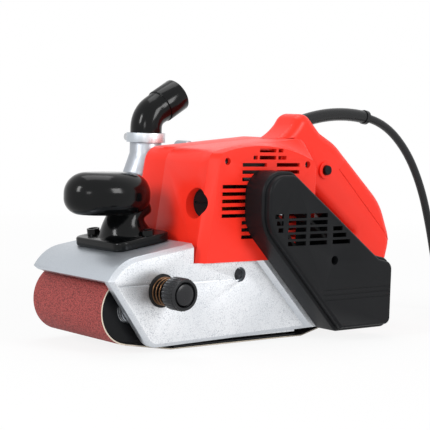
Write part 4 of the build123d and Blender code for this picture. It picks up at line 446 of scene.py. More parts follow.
def moulded_plastic(name, colour, roughness, grain, depth, gloss, drift):
    """Injection-moulded plastic: one colour with a slight drift, and the fine grain of its mould."""
    tree, place = start_material(name)
    broad = add_node(
        tree,
        "ShaderNodeTexNoise",
        {"Vector": place, "Scale": per_mm(PLASTIC_DRIFT), "Detail": 1.0, "Roughness": FINE_MARKS},
        "Fac",
    )
    fine = add_node(
        tree,
        "ShaderNodeTexNoise",
        {"Vector": place, "Scale": per_mm(grain), "Detail": 1.0, "Roughness": FINE_MARKS},
        "Fac",
    )
    tone = add_node(
        tree,
        "ShaderNodeMapRange",
        {"Value": broad, "From Min": NOISE_LOW, "From Max": NOISE_HIGH},
        "Result",
    )
    shown = add_node(
        tree,
        "ShaderNodeMix",
        {MIX_SHARE: tone, MIX_FIRST: rgba(colour, 1 - drift), MIX_SECOND: rgba(colour, 1 + drift)},
        MIX_RESULT,
        data_type="RGBA",
    )
    polish = add_node(
        tree,
        "ShaderNodeMapRange",
        {
            "Value": fine,
            "From Min": NOISE_LOW,
            "From Max": NOISE_HIGH,
            "To Min": roughness * 0.9,
            "To Max": roughness * 1.1,
        },
        "Result",
    )
    relief = add_node(
        tree, "ShaderNodeBump", {"Height": fine, "Distance": depth * MM, "Strength": 1.0}, "Normal"
    )
    finish_material(
        tree,
        {
            "Base Color": shown,
            "Roughness": polish,
            "IOR": PLASTIC_IOR,
            "Specular IOR Level": gloss,
            "Normal": relief,
        },
    )


def red_abs():
    """ABS shells: glossy out of the mould, with a grain drawn coarser than the real one so that it shows."""
    moulded_plastic(
        "moulded_red_abs",
        colours().shell_red,
        roughness=0.36,
        grain=1.2,
        depth=0.02,
        gloss=0.25,
        drift=0.04,
    )


def black_nylon():
    """Glass-filled nylon cover: satin, with a spark-eroded grain drawn coarser than the real one."""
    moulded_plastic(
        "moulded_black_nylon",
        colours().cover_black,
        roughness=0.42,
        grain=0.9,
        depth=0.03,
        gloss=0.1,
        drift=0.1,
    )


def black_abs():
    """Polished black ABS: a clear gloss that mirrors the lamps, with the slow waves of its polishing."""
    moulded_plastic(
        "polished_black_abs",
        colours().gloss_black,
        roughness=0.15,
        grain=6.0,
        depth=0.006,
        gloss=0.17,
        drift=0.1,
    )


def satin_abs():
    """Satin black ABS: greyer than the polished grips, with a grain drawn coarser than the real one."""
    moulded_plastic(
        "satin_black_abs",
        colours().satin_black,
        roughness=0.3,
        grain=1.5,
        depth=0.01,
        gloss=0.3,
        drift=0.08,
    )


def black_pvc():
    """Extruded PVC sheath: smooth, with a soft gloss and the faint waves of its extrusion."""
    moulded_plastic(
        "extruded_black_pvc",
        colours().sheath_black,
        roughness=0.27,
        grain=3.0,
        depth=0.015,
        gloss=0.3,
        drift=0.1,
    )


def cast_aluminium(name, wall_colour, shade_and_drift_grey):
    """Blasted casting: pits on its flat walls, drawn coarser than the real ones, and smoother on top, where
    the colour is painted darker as shade.
    """
    tree, place = start_material(name)
    facing = add_node(tree, "ShaderNodeTexCoord", output="Normal")
    sideways = add_node(tree, "ShaderNodeSeparateXYZ", {"Vector": facing}, "Y")
    wall = add_node(tree, "ShaderNodeMath", {0: sideways}, "Value", operation="ABSOLUTE")
    on_wall = add_node(
        tree, "ShaderNodeMapRange", {"Value": wall, "From Min": 0.55, "From Max": 0.95}, "Result"
    )
    skin_marks = add_node(
        tree,
        "ShaderNodeTexNoise",
        {"Vector": place, "Scale": per_mm(PIT_SIZE), "Detail": 3.0, "Roughness": FINE_MARKS},
        "Fac",
    )
    pits = add_node(
        tree, "ShaderNodeMapRange", {"Value": skin_marks, "From Min": 0.47, "From Max": 0.66}, "Result"
    )
    patches = add_node(
        tree,
        "ShaderNodeTexNoise",
        {"Vector": place, "Scale": per_mm(PIT_PATCH), "Detail": 2.0, "Roughness": FINE_MARKS},
        "Fac",
    )
    cloud = add_node(
        tree,
        "ShaderNodeMapRange",
        {"Value": patches, "From Min": 0.35, "From Max": 0.7, "To Min": 0.3},
        "Result",
    )
    patchy = add_node(tree, "ShaderNodeMath", {0: pits, 1: cloud}, "Value", operation="MULTIPLY")
    shown_pits = add_node(tree, "ShaderNodeMapRange", {"Value": on_wall, "To Min": 0.4}, "Result")
    specks = add_node(tree, "ShaderNodeMath", {0: patchy, 1: shown_pits}, "Value", operation="MULTIPLY")
    broad = add_node(
        tree,
        "ShaderNodeTexNoise",
        {"Vector": place, "Scale": per_mm(CAST_DRIFT), "Detail": 1.0, "Roughness": FINE_MARKS},
        "Fac",
    )
    dim = add_node(
        tree,
        "ShaderNodeMapRange",
        {"Value": broad, "From Min": 0.35, "From Max": 0.65, "To Max": 0.35},
        "Result",
    )
    # Broad random drift of the walls towards the same grey
    wall_skin = add_node(
        tree,
        "ShaderNodeMix",
        {MIX_SHARE: dim, MIX_FIRST: rgba(wall_colour), MIX_SECOND: rgba(shade_and_drift_grey)},
        MIX_RESULT,
        data_type="RGBA",
    )
    # Painted shade: tops and slopes take the darker grey, flat walls keep the lighter colour
    skin = add_node(
        tree,
        "ShaderNodeMix",
        {MIX_SHARE: on_wall, MIX_FIRST: rgba(shade_and_drift_grey), MIX_SECOND: wall_skin},
        MIX_RESULT,
        data_type="RGBA",
    )
    shown = add_node(
        tree,
        "ShaderNodeMix",
        {MIX_SHARE: specks, MIX_FIRST: skin, MIX_SECOND: rgba(colours().cast_speck)},
        MIX_RESULT,
        data_type="RGBA",
    )
    satin = add_node(
        tree, "ShaderNodeMapRange", {"Value": patchy, "To Min": 0.36, "To Max": 0.55}, "Result"
    )
    relief = add_node(
        tree, "ShaderNodeBump", {"Height": patchy, "Distance": 0.06 * MM, "Strength": 1.0}, "Normal"
    )
    finish_material(tree, {"Base Color": shown, "Roughness": satin, "Metallic": 0.85, "Normal": relief})


def abrasive_cloth():
    """Aluminium oxide in resin: dull brown-red, with grains drawn coarser than real so that they show, and
    painted glints on some of them.
    """
    tree, place = start_material("aluminium_oxide_grit")
    grains = add_node(
        tree, "ShaderNodeTexVoronoi", {"Vector": place, "Scale": per_mm(GRAIN_SIZE)}, "Distance"
    )
    gaps = add_node(
        tree, "ShaderNodeMapRange", {"Value": grains, "From Min": 0.1, "From Max": 0.75}, "Result"
    )
    body = add_node(
        tree,
        "ShaderNodeMix",
        {MIX_SHARE: gaps, MIX_FIRST: rgba(colours().grit_red), MIX_SECOND: rgba(colours().grit_dark)},
        MIX_RESULT,
        data_type="RGBA",
    )
    painted_glints = add_node(
        tree,
        "ShaderNodeTexNoise",
        {"Vector": place, "Scale": per_mm(BRIGHT_GRAIN), "Detail": 2.0, "Roughness": FINE_MARKS},
        "Fac",
    )
    bright = add_node(
        tree,
        "ShaderNodeMapRange",
        {"Value": painted_glints, "From Min": 0.66, "From Max": 0.74, "To Max": 0.5},
        "Result",
    )
    # Painted glints: some grains lighter, as if catching the lamps
    shown = add_node(
        tree,
        "ShaderNodeMix",
        {MIX_SHARE: bright, MIX_FIRST: body, MIX_SECOND: rgba(colours().grit_painted_glint)},
        MIX_RESULT,
        data_type="RGBA",
    )
    height = add_node(tree, "ShaderNodeMath", {0: 1.0, 1: gaps}, "Value", operation="SUBTRACT")
    relief = add_node(
        tree, "ShaderNodeBump", {"Height": height, "Distance": 0.25 * MM, "Strength": 1.0}, "Normal"
    )
    finish_material(tree, {"Base Color": shown, "Roughness": 0.75, "Normal": relief})


def belt_backing():
    """Woven cotton back of the belt: pale and dull, with its rib drawn coarser than the real threads."""
    tree, place = start_material("woven_cotton_backing")
    threads = add_node(
        tree,
        "ShaderNodeTexWave",
        {"Vector": place, "Scale": per_mm(CLOTH_RIB)},
        "Fac",
        bands_direction="Y",
    )
    cloth = colours().cloth
    shown = add_node(
        tree,
        "ShaderNodeMix",
        {MIX_SHARE: threads, MIX_FIRST: rgba(cloth, 0.85), MIX_SECOND: rgba(cloth)},
        MIX_RESULT,
        data_type="RGBA",
    )
    relief = add_node(
        tree, "ShaderNodeBump", {"Height": threads, "Distance": 0.1 * MM, "Strength": 1.0}, "Normal"
    )
    finish_material(tree, {"Base Color": shown, "Roughness": 0.9, "Normal": relief})


def metal(name, code, roughness, mark, depth):
    """Bare metal: a bright sheen, broken up by fine machining marks."""
    tree, place = start_material(name)
    marks = add_node(
        tree,
        "ShaderNodeTexNoise",
        {"Vector": place, "Scale": per_mm(mark), "Detail": 3.0, "Roughness": FINE_MARKS},
        "Fac",
    )
    base = linear(code)
    shown = add_node(
        tree,
        "ShaderNodeMix",
        {MIX_SHARE: marks, MIX_FIRST: rgba(base, 0.85), MIX_SECOND: rgba(base)},
        MIX_RESULT,
        data_type="RGBA",
    )
    polish = add_node(
        tree,
        "ShaderNodeMapRange",
        {
            "Value": marks,
            "From Min": NOISE_LOW,
            "From Max": NOISE_HIGH,
            "To Min": roughness * 0.8,
            "To Max": roughness * 1.2,
        },
        "Result",
    )
    relief = add_node(
        tree, "ShaderNodeBump", {"Height": marks, "Distance": depth * MM, "Strength": 1.0}, "Normal"
    )
    finish_material(tree, {"Base Color": shown, "Roughness": polish, "Metallic": 1.0, "Normal": relief})


def dull(name, code, roughness, mark, depth):
    """Dull non-metal such as rubber, varnish or graphite, mottled at its own scale."""
    tree, place = start_material(name)
    marks = add_node(
        tree,
        "ShaderNodeTexNoise",
        {"Vector": place, "Scale": per_mm(mark), "Detail": 4.0, "Roughness": FINE_MARKS},
        "Fac",
    )
    mottle = add_node(
        tree, "ShaderNodeMapRange", {"Value": marks, "From Min": 0.35, "From Max": 0.65}, "Result"
    )
    base = linear(code)
    shown = add_node(
        tree,
        "ShaderNodeMix",
        {MIX_SHARE: mottle, MIX_FIRST: rgba(base, 0.7), MIX_SECOND: rgba(base)},
        MIX_RESULT,
        data_type="RGBA",
    )
    relief = add_node(
        tree, "ShaderNodeBump", {"Height": marks, "Distance": depth * MM, "Strength": 1.0}, "Normal"
    )
    finish_material(tree, {"Base Color": shown, "Roughness": roughness, "Normal": relief})


def make_finishes():
    """Every finish of the sander."""
    red_abs()
    black_nylon()
    black_abs()
    satin_abs()
    black_pvc()
    cast_aluminium("shot_blasted_aluminium", colours().cast_silver, colours().cast_shade_and_drift_grey)
    cast_aluminium("sand_cast_aluminium", colours().duct_silver, colours().duct_shade_and_drift_grey)
    abrasive_cloth()
    belt_backing()
    for finish in METALS:
        metal(*finish)
    for finish in DULL_FINISHES:
        dull(*finish)


def link_piece(name, mesh):
    """New object in the scene, at the origin."""
    piece = bpy.data.objects.new(name, mesh)
    bpy.context.scene.collection.objects.link(piece)
    return piece


def plain_mesh(piece):
    """Give a piece the mesh that its modifiers make, and remove them."""
    depsgraph = bpy.context.evaluated_depsgraph_get()
    made = bpy.data.meshes.new_from_object(piece.evaluated_get(depsgraph), depsgraph=depsgraph)
    piece.modifiers.clear()
    piece.data = made
    return made


def merged_shape(node):
    """Editable copy of a node's mesh with its loose triangles merged into flat faces."""
    shape = bmesh.new()
    shape.from_mesh(frame["nodes"][node].data)
    bmesh.ops.remove_doubles(shape, verts=shape.verts, dist=WELD)
    bmesh.ops.dissolve_limit(shape, angle_limit=FLAT_ANGLE, verts=shape.verts, edges=shape.edges)
    return shape


def round_edges(piece, rounding, steps):
    """Bevel that rounds every sharp edge of a piece by a radius in millimetres."""
    edges = piece.modifiers.new("rounded_edges", "BEVEL")
    edges.width = rounding * MM
    edges.segments = steps
    edges.limit_method = "ANGLE"
    edges.angle_limit = SHARP_ANGLE


def stand_for(piece, node):
    """Let a finished piece take a node's place on that node's body."""
    piece.data.shade_smooth()
    piece.data.set_sharp_from_angle(angle=SHARP_ANGLE)
    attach(piece, frame["nodes"][node]["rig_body"])
    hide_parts(node)


def rounded_copy(node, name, finish, rounding, steps=3, change=None):
    """Merged copy of a node's mesh with its sharp edges rounded, standing for that node."""
    shape = merged_shape(node)
    if change:
        change(shape)
    mesh = bpy.data.meshes.new(name)
    shape.to_mesh(mesh)
    shape.free()
    piece = link_piece(name, mesh)
    round_edges(piece, rounding, steps)
    mesh = plain_mesh(piece)
    mesh.materials.clear()
    mesh.materials.append(bpy.data.materials[finish])
    stand_for(piece, node)
    return piece


def start_tree(name, sockets):
    """Geometry Nodes tree with named inputs, and the sockets that give them."""
    tree = bpy.data.node_groups.new(name, "GeometryNodeTree")
    for label, kind in sockets.items():
        tree.interface.new_socket(label, in_out="INPUT", socket_type=kind)
    tree.interface.new_socket("Geometry", in_out="OUTPUT", socket_type="NodeSocketGeometry")
    return tree, add_node(tree, "NodeGroupInput").outputs


def finish_tree(tree, geometry, finish):
    """End a tree with real geometry in one finish."""
    real = add_node(tree, "GeometryNodeRealizeInstances", {"Geometry": geometry}, "Geometry")
    coated = add_node(tree, "GeometryNodeSetMaterial", {"Geometry": real, "Material": finish}, "Geometry")
    add_node(tree, "NodeGroupOutput", {"Geometry": coated})


def grow(piece, tree, values):
    """Run a tree on a piece with the given inputs."""
    made = piece.modifiers.new(tree.name, "NODES")
    made.node_group = tree
    for item in tree.interface.items_tree:
        if item.in_out == "INPUT" and item.name in values:
            made[item.identifier] = values[item.name]


def screw_tree():
    """Cross-recess screws: a head and a shank at each point, turned to the way that the point faces."""
    tree, given = start_tree(
        "cross_recess_screws",
        {
            "Geometry": "NodeSocketGeometry",
            "Recess length": "NodeSocketFloat",
            "Recess width": "NodeSocketFloat",
            "Finish": "NodeSocketMaterial",
        },
    )
    facing = add_node(
        tree,
        "GeometryNodeInputNamedAttribute",
        {"Name": "facing"},
        "Attribute",
        data_type="FLOAT_VECTOR",
    )
    turned = add_node(
        tree, "FunctionNodeAlignRotationToVector", {"Vector": facing}, "Rotation", axis="Z"
    )
    size = {}
    for name in SCREW_SIZES:
        size[name] = add_node(
            tree, "GeometryNodeInputNamedAttribute", {"Name": name}, "Attribute", data_type="FLOAT"
        )

    disc = add_node(
        tree, "GeometryNodeMeshCylinder", {"Vertices": 32, "Radius": 1.0, "Depth": 1.0}, "Mesh"
    )
    sunk = add_node(
        tree, "GeometryNodeTransform", {"Geometry": disc, "Translation": (0, 0, -0.5)}, "Geometry"
    )
    length = add_node(
        tree, "ShaderNodeMath", {0: given["Recess length"], 1: 2.0}, "Value", operation="MULTIPLY"
    )
    width = given["Recess width"]
    recessed = add_node(
        tree, "GeometryNodeMeshBoolean", {"Mesh 1": sunk}, operation="DIFFERENCE", solver="EXACT"
    )
    for across, along in ((length, width), (width, length)):
        arm_size = add_node(
            tree, "ShaderNodeCombineXYZ", {"X": across, "Y": along, "Z": RECESS_DEPTH}, "Vector"
        )
        arm = add_node(tree, "GeometryNodeMeshCube", {"Size": arm_size}, "Mesh")
        tree.links.new(arm, recessed.inputs["Mesh 2"])

    placed = {}
    for part, shape, radius, depth in (
        ("shank", sunk, size["shank_radius"], size["reach"]),
        ("head", recessed.outputs["Mesh"], size["head_radius"], size["head_depth"]),
    ):
        scale = add_node(tree, "ShaderNodeCombineXYZ", {"X": radius, "Y": radius, "Z": depth}, "Vector")
        placed[part] = add_node(
            tree,
            "GeometryNodeInstanceOnPoints",
            {"Points": given["Geometry"], "Instance": shape, "Rotation": turned, "Scale": scale},
            "Instances",
        )
    drop = add_node(
        tree, "ShaderNodeMath", {0: size["head_depth"], 1: -SHANK_START}, "Value", operation="MULTIPLY"
    )
    below = add_node(tree, "ShaderNodeCombineXYZ", {"Z": drop}, "Vector")
    shanks = add_node(
        tree,
        "GeometryNodeTranslateInstances",
        {"Instances": placed["shank"], "Translation": below},
        "Instances",
    )
    screws = add_node(tree, "GeometryNodeJoinGeometry")
    for part in (shanks, placed["head"]):
        tree.links.new(part, screws.inputs["Geometry"])
    finish_tree(tree, screws.outputs["Geometry"], given["Finish"])
    return tree


def spring_tree():
    """Coil spring: a round wire led along a helix that starts at its place and runs to -Y."""
    tree, given = start_tree(
        "coil_spring",
        {
            "Radius": "NodeSocketFloat",
            "Height": "NodeSocketFloat",
            "Wire": "NodeSocketFloat",
            "Turns": "NodeSocketFloat",
            "Place": "NodeSocketVector",
            "Finish": "NodeSocketMaterial",
        },
    )
    helix = add_node(
        tree,
        "GeometryNodeCurveSpiral",
        {
            "Resolution": 40,
            "Rotations": given["Turns"],
            "Start Radius": given["Radius"],
            "End Radius": given["Radius"],
            "Height": given["Height"],
        },
        "Curve",
    )
    round_wire = add_node(
        tree, "GeometryNodeCurvePrimitiveCircle", {"Resolution": 16, "Radius": given["Wire"]}, "Curve"
    )
    wound = add_node(
        tree,
        "GeometryNodeCurveToMesh",
        {"Curve": helix, "Profile Curve": round_wire, "Fill Caps": True},
        "Mesh",
    )
    laid = add_node(
        tree,
        "GeometryNodeTransform",
        {"Geometry": wound, "Translation": given["Place"], "Rotation": (math.pi / 2, 0, 0)},
        "Geometry",
    )
    finish_tree(tree, laid, given["Finish"])
    return tree


class SANDER_OT_camera(bpy.types.Operator):
    """Place the camera where the photograph was taken from"""

    bl_idname = "sander.camera"
    bl_label = "Camera"

    def execute(self, context):
        view = view_settings()
        turn, rise, roll = view.azimuth, view.elevation, view.roll
        back = Vector((-math.sin(turn) * math.cos(rise), -math.cos(turn) * math.cos(rise), math.sin(rise)))
        level = Vector((math.cos(turn), -math.sin(turn), 0))
        upright = back.cross(level)
        right = math.cos(roll) * level + math.sin(roll) * upright
        up = -math.sin(roll) * level + math.cos(roll) * upright
        place = Matrix.Translation(Vector(view.target) + back * view.distance)
        camera = bpy.data.objects.new("camera", bpy.data.cameras.new("camera"))
        camera.data.lens = view.lens
        camera.data.clip_start = 0.05
        camera.matrix_world = place @ Matrix((right, up, back)).transposed().to_4x4()
        context.scene.collection.objects.link(camera)
        context.scene.camera = camera
        return {"FINISHED"}


class SANDER_OT_stage(bpy.types.Operator):
    """Lay the floor and set the soft studio light"""

    bl_idname = "sander.stage"
    bl_label = "Stage"

    def execute(self, context):
        scene = context.scene
        scene.view_settings.view_transform = "Standard"
        self.lay_floor()
        self.light_world(scene)
        for lamp in LAMPS:
            self.hang_lamp(*lamp)
        return {"FINISHED"}

    def lay_floor(self):
        mesh = bpy.data.meshes.new("floor")
        corners = [
            (-FLOOR_HALF, -FLOOR_HALF, 0),
            (FLOOR_HALF, -FLOOR_HALF, 0),
            (FLOOR_HALF, FLOOR_HALF, 0),
            (-FLOOR_HALF, FLOOR_HALF, 0),
        ]
        mesh.from_pydata(corners, [], [(0, 1, 2, 3)])
        floor = link_piece("floor", mesh)
        self.white_paper()
        mesh.materials.append(bpy.data.materials["white_paper"])

    def white_paper(self):
        """Matt white paper: it shows the sander's shadow close by and fades to plain white further out."""
        tree, place = start_material("white_paper")
        grey = (FLOOR_GREY, FLOOR_GREY, FLOOR_GREY, 1.0)
        matt = add_node(tree, "ShaderNodeBsdfDiffuse", {"Color": grey}, "BSDF")
        glow = add_node(tree, "ShaderNodeEmission", {"Color": PURE_WHITE, "Strength": 1.0}, "Emission")
        rays = add_node(tree, "ShaderNodeLightPath").outputs
        seen = add_node(
            tree,
            "ShaderNodeMath",
            {0: rays["Is Camera Ray"], 1: rays["Is Glossy Ray"]},
            "Value",
            operation="MAXIMUM",
        )
        away = add_node(tree, "ShaderNodeVectorMath", {0: place}, "Value", operation="LENGTH")
        white = add_node(
            tree,
            "ShaderNodeMapRange",
            {"Value": away, "From Min": WHITE_FROM, "From Max": WHITE_TO, "To Min": WHITE_NEAR},
            "Result",
        )
        share = add_node(tree, "ShaderNodeMath", {0: seen, 1: white}, "Value", operation="MULTIPLY")
        both = add_node(tree, "ShaderNodeMixShader", {0: share, 1: matt, 2: glow}, "Shader")
        add_node(tree, "ShaderNodeOutputMaterial", {"Surface": both})

    def light_world(self, scene):
        """Soft light from all round, which the camera, gloss and glass see as white."""
        world = bpy.data.worlds.new("studio")
        scene.world = world
        world.use_nodes = True
        tree = world.node_tree
        tree.nodes.clear()
        soft = add_node(
            tree, "ShaderNodeBackground", {"Color": PURE_WHITE, "Strength": AMBIENT}, "Background"
        )
        white = add_node(tree, "ShaderNodeBackground", {"Color": PURE_WHITE, "Strength": 1.0}, "Background")
        rays = add_node(tree, "ShaderNodeLightPath").outputs
        seen = rays["Is Camera Ray"]
        for other in ("Is Glossy Ray", "Is Transmission Ray"):
            seen = add_node(tree, "ShaderNodeMath", {0: seen, 1: rays[other]}, "Value", operation="MAXIMUM")
        both = add_node(tree, "ShaderNodeMixShader", {0: seen, 1: soft, 2: white}, "Shader")
        add_node(tree, "ShaderNodeOutputWorld", {"Surface": both})

    def hang_lamp(self, name, place, size, power):
        lamp = bpy.data.lights.new(name, "AREA")
        lamp.shape = "RECTANGLE"
        lamp.size, lamp.size_y = size
        lamp.energy = power
        hung = bpy.data.objects.new(name, lamp)
        hung.location = place
        hung.rotation_euler = (LAMP_AIM - Vector(place)).to_track_quat("-Z", "Y").to_euler()
        bpy.context.scene.collection.objects.link(hung)


class SANDER_OT_cord(bpy.types.Operator):
    """Lay the mains cord along its route and wind the rest into a tied coil"""

    bl_idname = "sander.cord"
    bl_label = "Mains cord"

    def execute(self, context):
        radius = sizes().cord_diameter / 2
        points = [Vector(p) for p in CORD_ROUTE] + self.coil_turns(radius)
        curve = bpy.data.curves.new("mains_cord", "CURVE")
        curve.dimensions = "3D"
        curve.bevel_depth = radius
        curve.bevel_resolution = 4
        curve.resolution_u = 8
        curve.use_fill_caps = True
        line = curve.splines.new("NURBS")
        line.points.add(len(points) - 1)
        for point, place in zip(line.points, points):
            point.co = (*place, 1)
        line.order_u = 3
        line.use_endpoint_u = True
        curve.materials.append(bpy.data.materials["extruded_black_pvc"])
        cord = link_piece("mains_cord", curve)
        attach(cord, "root")
        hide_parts("cord", "cord_coil")
        return {"FINISHED"}

    def coil_turns(self, radius):
        """Flat coil of two layers: inwards along the floor, up, and outwards on top."""
        low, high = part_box("cord_coil")
        middle = (low + high) / 2
        outer = (high.x - low.x) / 2 - 2 * radius
        floor_z, top_z = low.z + radius, high.z - radius - MM
        pitch = 2 * radius
        inner = outer - COIL_IN * pitch
        steps = sizes().coil_points
        made = []
        for step in range(int(COIL_LAST * steps) + 1):
            turn = step / steps
            if turn < COIL_IN:
                reach = outer - pitch * turn
            elif turn < COIL_OUT:
                reach = inner
            else:
                reach = inner + (outer - inner) * (turn - COIL_OUT) / (COIL_LAST - COIL_OUT)
            share = min(1.0, max(0.0, (turn - CLIMB_FROM) / (CLIMB_TO - CLIMB_FROM)))
            rise = share * share * (3 - 2 * share)
            angle = math.pi / 2 - 2 * math.pi * turn
            spoke = Vector((math.cos(angle), math.sin(angle), 0)) * reach
            height = floor_z + (top_z - floor_z) * rise
            made.append(Vector((middle.x + spoke.x, middle.y + spoke.y, height)))
        return made


class SANDER_OT_shells(bpy.types.Operator):
    """Round the edges of the moulded and cast shells and give them their finishes"""

    bl_idname = "sander.shells"
    bl_label = "Shells"

    def execute(self, context):
        changes = {"handle_cover": self.open_seam, "drive_cover": self.add_shade_baffle}
        for node, name, finish, rounding, slot in SHELLS:
            piece = rounded_copy(node, name, finish, rounding, change=changes.get(node))
            if node == "sanding_belt":
                self.bare_cloth(piece.data)
        return {"FINISHED"}

    def open_seam(self, shape):
        """Draw the back of the handle off its seam, so that the parting line shows."""
        seam = [face for face in shape.faces if max(face.normal.x, face.normal.z) < -SEAM_LEAN]
        away = -sizes().seam_gap * max(seam, key=lambda face: face.calc_area()).normal
        for vert in {vert for face in seam for vert in face.verts}:
            vert.co += away

    def add_shade_baffle(self, shape):
        """Close the corner between the cover's back and the motor housing with a black box, which shuts the
        view through the vents and is painted shade that keeps them dark.
        """
        box = bmesh.ops.create_cube(shape, size=1.0)["verts"]
        low, high = (Vector(corner) * MM for corner in SHADE_BAFFLE)
        for vert in box:
            vert.co = Vector([(low[i] + high[i]) / 2 + vert.co[i] * (high[i] - low[i]) for i in range(3)])

    def bare_cloth(self, mesh):
        """Show the belt's cloth on its back and cut edges, painted black as shade along the flat run."""
        mesh.materials.append(bpy.data.materials["woven_cotton_backing"])
        mesh.materials.append(bpy.data.materials["graphite_canvas_and_shade"])
        low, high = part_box("sanding_belt")
        middle = (low + high) / 2
        for face in mesh.polygons:
            outward = face.normal.dot(face.center - middle)
            if abs(face.normal.y) > EDGE_LEAN or outward < 0:
                # Along the flat run the cloth takes the black as painted shade
                face.material_index = 1 if face.center.z > FLAT_RUN * MM else 2


class SANDER_OT_screws(bpy.types.Operator):
    """Turn the screws that hold the housing, the frame and the dust case"""

    bl_idname = "sander.screws"
    bl_label = "Screws"

    def execute(self, context):
        tree = screw_tree()
        recess = {"Recess length": sizes().recess_length, "Recess width": sizes().recess_width}
        for node, name, finish in SCREWS:
            piece = link_piece(name, self.screw_points(node, name))
            grow(piece, tree, {**recess, "Finish": bpy.data.materials[finish]})
            round_edges(piece, SCREW_ROUNDING, 2)
            plain_mesh(piece)
            stand_for(piece, node)
        return {"FINISHED"}

    def screw_points(self, node, name):
        """One point on top of each screw's head, with the sizes measured on its solid."""
        shape = merged_shape(node)
        left = set(shape.verts)
        found = []
        while left:
            solid, edge = set(), [left.pop()]
            while edge:
                vert = edge.pop()
                solid.add(vert)
                near = {other for link in vert.link_edges for other in link.verts} & left
                left -= near
                edge.extend(near)
            found.append(self.measure(solid))
        shape.free()
        mesh = bpy.data.meshes.new(name)
        mesh.from_pydata([screw["top"] for screw in found], [], [])
        facing = mesh.attributes.new("facing", "FLOAT_VECTOR", "POINT")
        facing.data.foreach_set("vector", [v for screw in found for v in screw["facing"]])
        for size in SCREW_SIZES:
            layer = mesh.attributes.new(size, "FLOAT", "POINT")
            layer.data.foreach_set("value", [screw[size] for screw in found])
        return mesh

    def measure(self, solid):
        """Top of the head, the way that it faces, and the radii and lengths of one screw."""
        faces = {face for vert in solid for face in vert.link_faces}
        head = max(faces, key=lambda face: face.calc_area())
        top, facing = head.calc_center_median(), head.normal.copy()
        spots = []
        for vert in solid:
            depth = (top - vert.co).dot(facing)
            spots.append((depth, (vert.co + depth * facing - top).length))
        head_radius = max(radius for _, radius in spots)
        head_depth = max(depth for depth, radius in spots if radius > HEAD_RIM * head_radius)
        shank = [radius for depth, radius in spots if depth > head_depth + BELOW_HEAD]
        return {
            "top": top,
            "facing": facing,
            "head_radius": head_radius,
            "head_depth": head_depth,
            "shank_radius": max(shank, default=BARE_SHANK * head_radius),
            "reach": max(depth for depth, _ in spots) - SHANK_START * head_depth,
        }


class SANDER_OT_roller_spring(bpy.types.Operator):
    """Round the edges of the spring behind the front roller and give it a mesh of its own"""

    bl_idname = "sander.roller_spring"
    bl_label = "Roller spring"

    def execute(self, context):
        piece = rounded_copy(
            "tension_spring", "roller_spring", "bright_zinc_steel", SPRING_ROUNDING
        )
        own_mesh(piece)
        return {"FINISHED"}


class SANDER_OT_tracking_spring(bpy.types.Operator):
    """Wind the spring behind the tracking knob"""

    bl_idname = "sander.tracking_spring"
    bl_label = "Tracking spring"

    def execute(self, context):
        low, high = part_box("tracking_spring")
        wire = sizes().spring_wire / 2
        middle = (low + high) / 2
        piece = link_piece("knob_spring", bpy.data.meshes.new("knob_spring"))
        values = {
            "Radius": sizes().spring_radius,
            "Height": high.y - low.y - 2 * wire,
            "Wire": wire,
            "Turns": sizes().spring_turns,
            "Place": (middle.x, high.y - wire, middle.z),
            # Its dark bronze is partly painted shade from the knob in front of it
            "Finish": bpy.data.materials["bronze_wire_and_shade"],
        }
        grow(piece, spring_tree(), values)
        plain_mesh(piece)
        stand_for(piece, "tracking_spring")
        return {"FINISHED"}


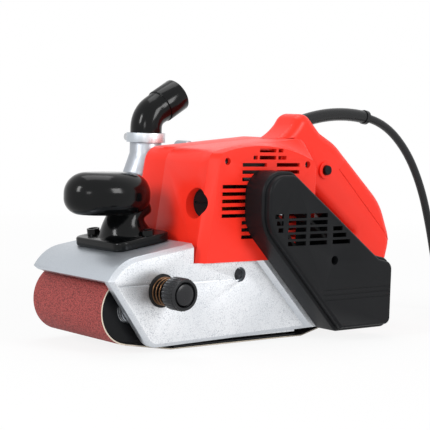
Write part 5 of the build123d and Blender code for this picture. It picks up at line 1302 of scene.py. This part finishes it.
class SANDER_OT_tracking_knob(bpy.types.Operator):
    """Raise the domed middle in the dish of the tracking knob"""

    bl_idname = "sander.tracking_knob"
    bl_label = "Tracking knob"

    def execute(self, context):
        rounded_copy(
            "tracking_knob",
            "tracking_dial",
            "satin_black_abs",
            KNOB_ROUNDING,
            steps=2,
            change=self.raise_middle,
        )
        return {"FINISHED"}

    def raise_middle(self, shape):
        """Build the rings of the dome on the floor of the dish."""
        outward = [face for face in shape.faces if face.normal.y < -DISH_LEAN]
        face = max(outward, key=lambda face: face.calc_area())
        middle = face.calc_center_bounds()
        reach = max((vert.co - middle).length for vert in face.verts)
        for radius, rise in KNOB_FACE:
            face = bmesh.ops.extrude_discrete_faces(shape, faces=[face])["faces"][0]
            for vert in face.verts:
                vert.co = middle + (vert.co - middle) * radius * MM / reach
                vert.co.y -= rise * MM
            reach = radius * MM
            middle.y -= rise * MM


class SANDER_OT_inner_parts(bpy.types.Operator):
    """Give the parts that keep their own mesh their finishes"""

    bl_idname = "sander.inner_parts"
    bl_label = "Inner parts"

    def execute(self, context):
        for finish, nodes in PLAIN_FINISHES.items():
            for node in nodes:
                piece = frame["nodes"][node]
                piece.data.materials.clear()
                piece.data.materials.append(bpy.data.materials[finish])
        return {"FINISHED"}


class SANDER_PT_panel(bpy.types.Panel):
    """Lists the sander's sizes, colours and pieces"""

    bl_idname = "SANDER_PT_panel"
    bl_label = "Belt sander"
    bl_space_type = "VIEW_3D"
    bl_region_type = "UI"
    bl_category = "Sander"

    def draw(self, context):
        for group in (view_settings(), sizes(), colours()):
            box = self.layout.box()
            for name in group.__annotations__:
                box.prop(group, name)
        for operator in OPERATORS:
            self.layout.operator(operator.bl_idname)


GROUPS = {"sander_view": SanderView, "sander_sizes": SanderSizes, "sander_colours": SanderColours}
OPERATORS = (
    SANDER_OT_camera,
    SANDER_OT_stage,
    SANDER_OT_cord,
    SANDER_OT_shells,
    SANDER_OT_screws,
    SANDER_OT_roller_spring,
    SANDER_OT_tracking_spring,
    SANDER_OT_tracking_knob,
    SANDER_OT_inner_parts,
)


def register():
    for name, group in GROUPS.items():
        bpy.utils.register_class(group)
        setattr(bpy.types.Scene, name, PointerProperty(type=group))
    for operator in OPERATORS:
        bpy.utils.register_class(operator)
    bpy.utils.register_class(SANDER_PT_panel)


def unregister():
    bpy.utils.unregister_class(SANDER_PT_panel)
    for operator in reversed(OPERATORS):
        bpy.utils.unregister_class(operator)
    for name, group in GROUPS.items():
        delattr(bpy.types.Scene, name)
        bpy.utils.unregister_class(group)


def main():
    register()
    make_finishes()
    for operator in OPERATORS:
        family, name = operator.bl_idname.split(".")
        getattr(getattr(bpy.ops, family), name)()


if __name__ == "__main__":
    main()
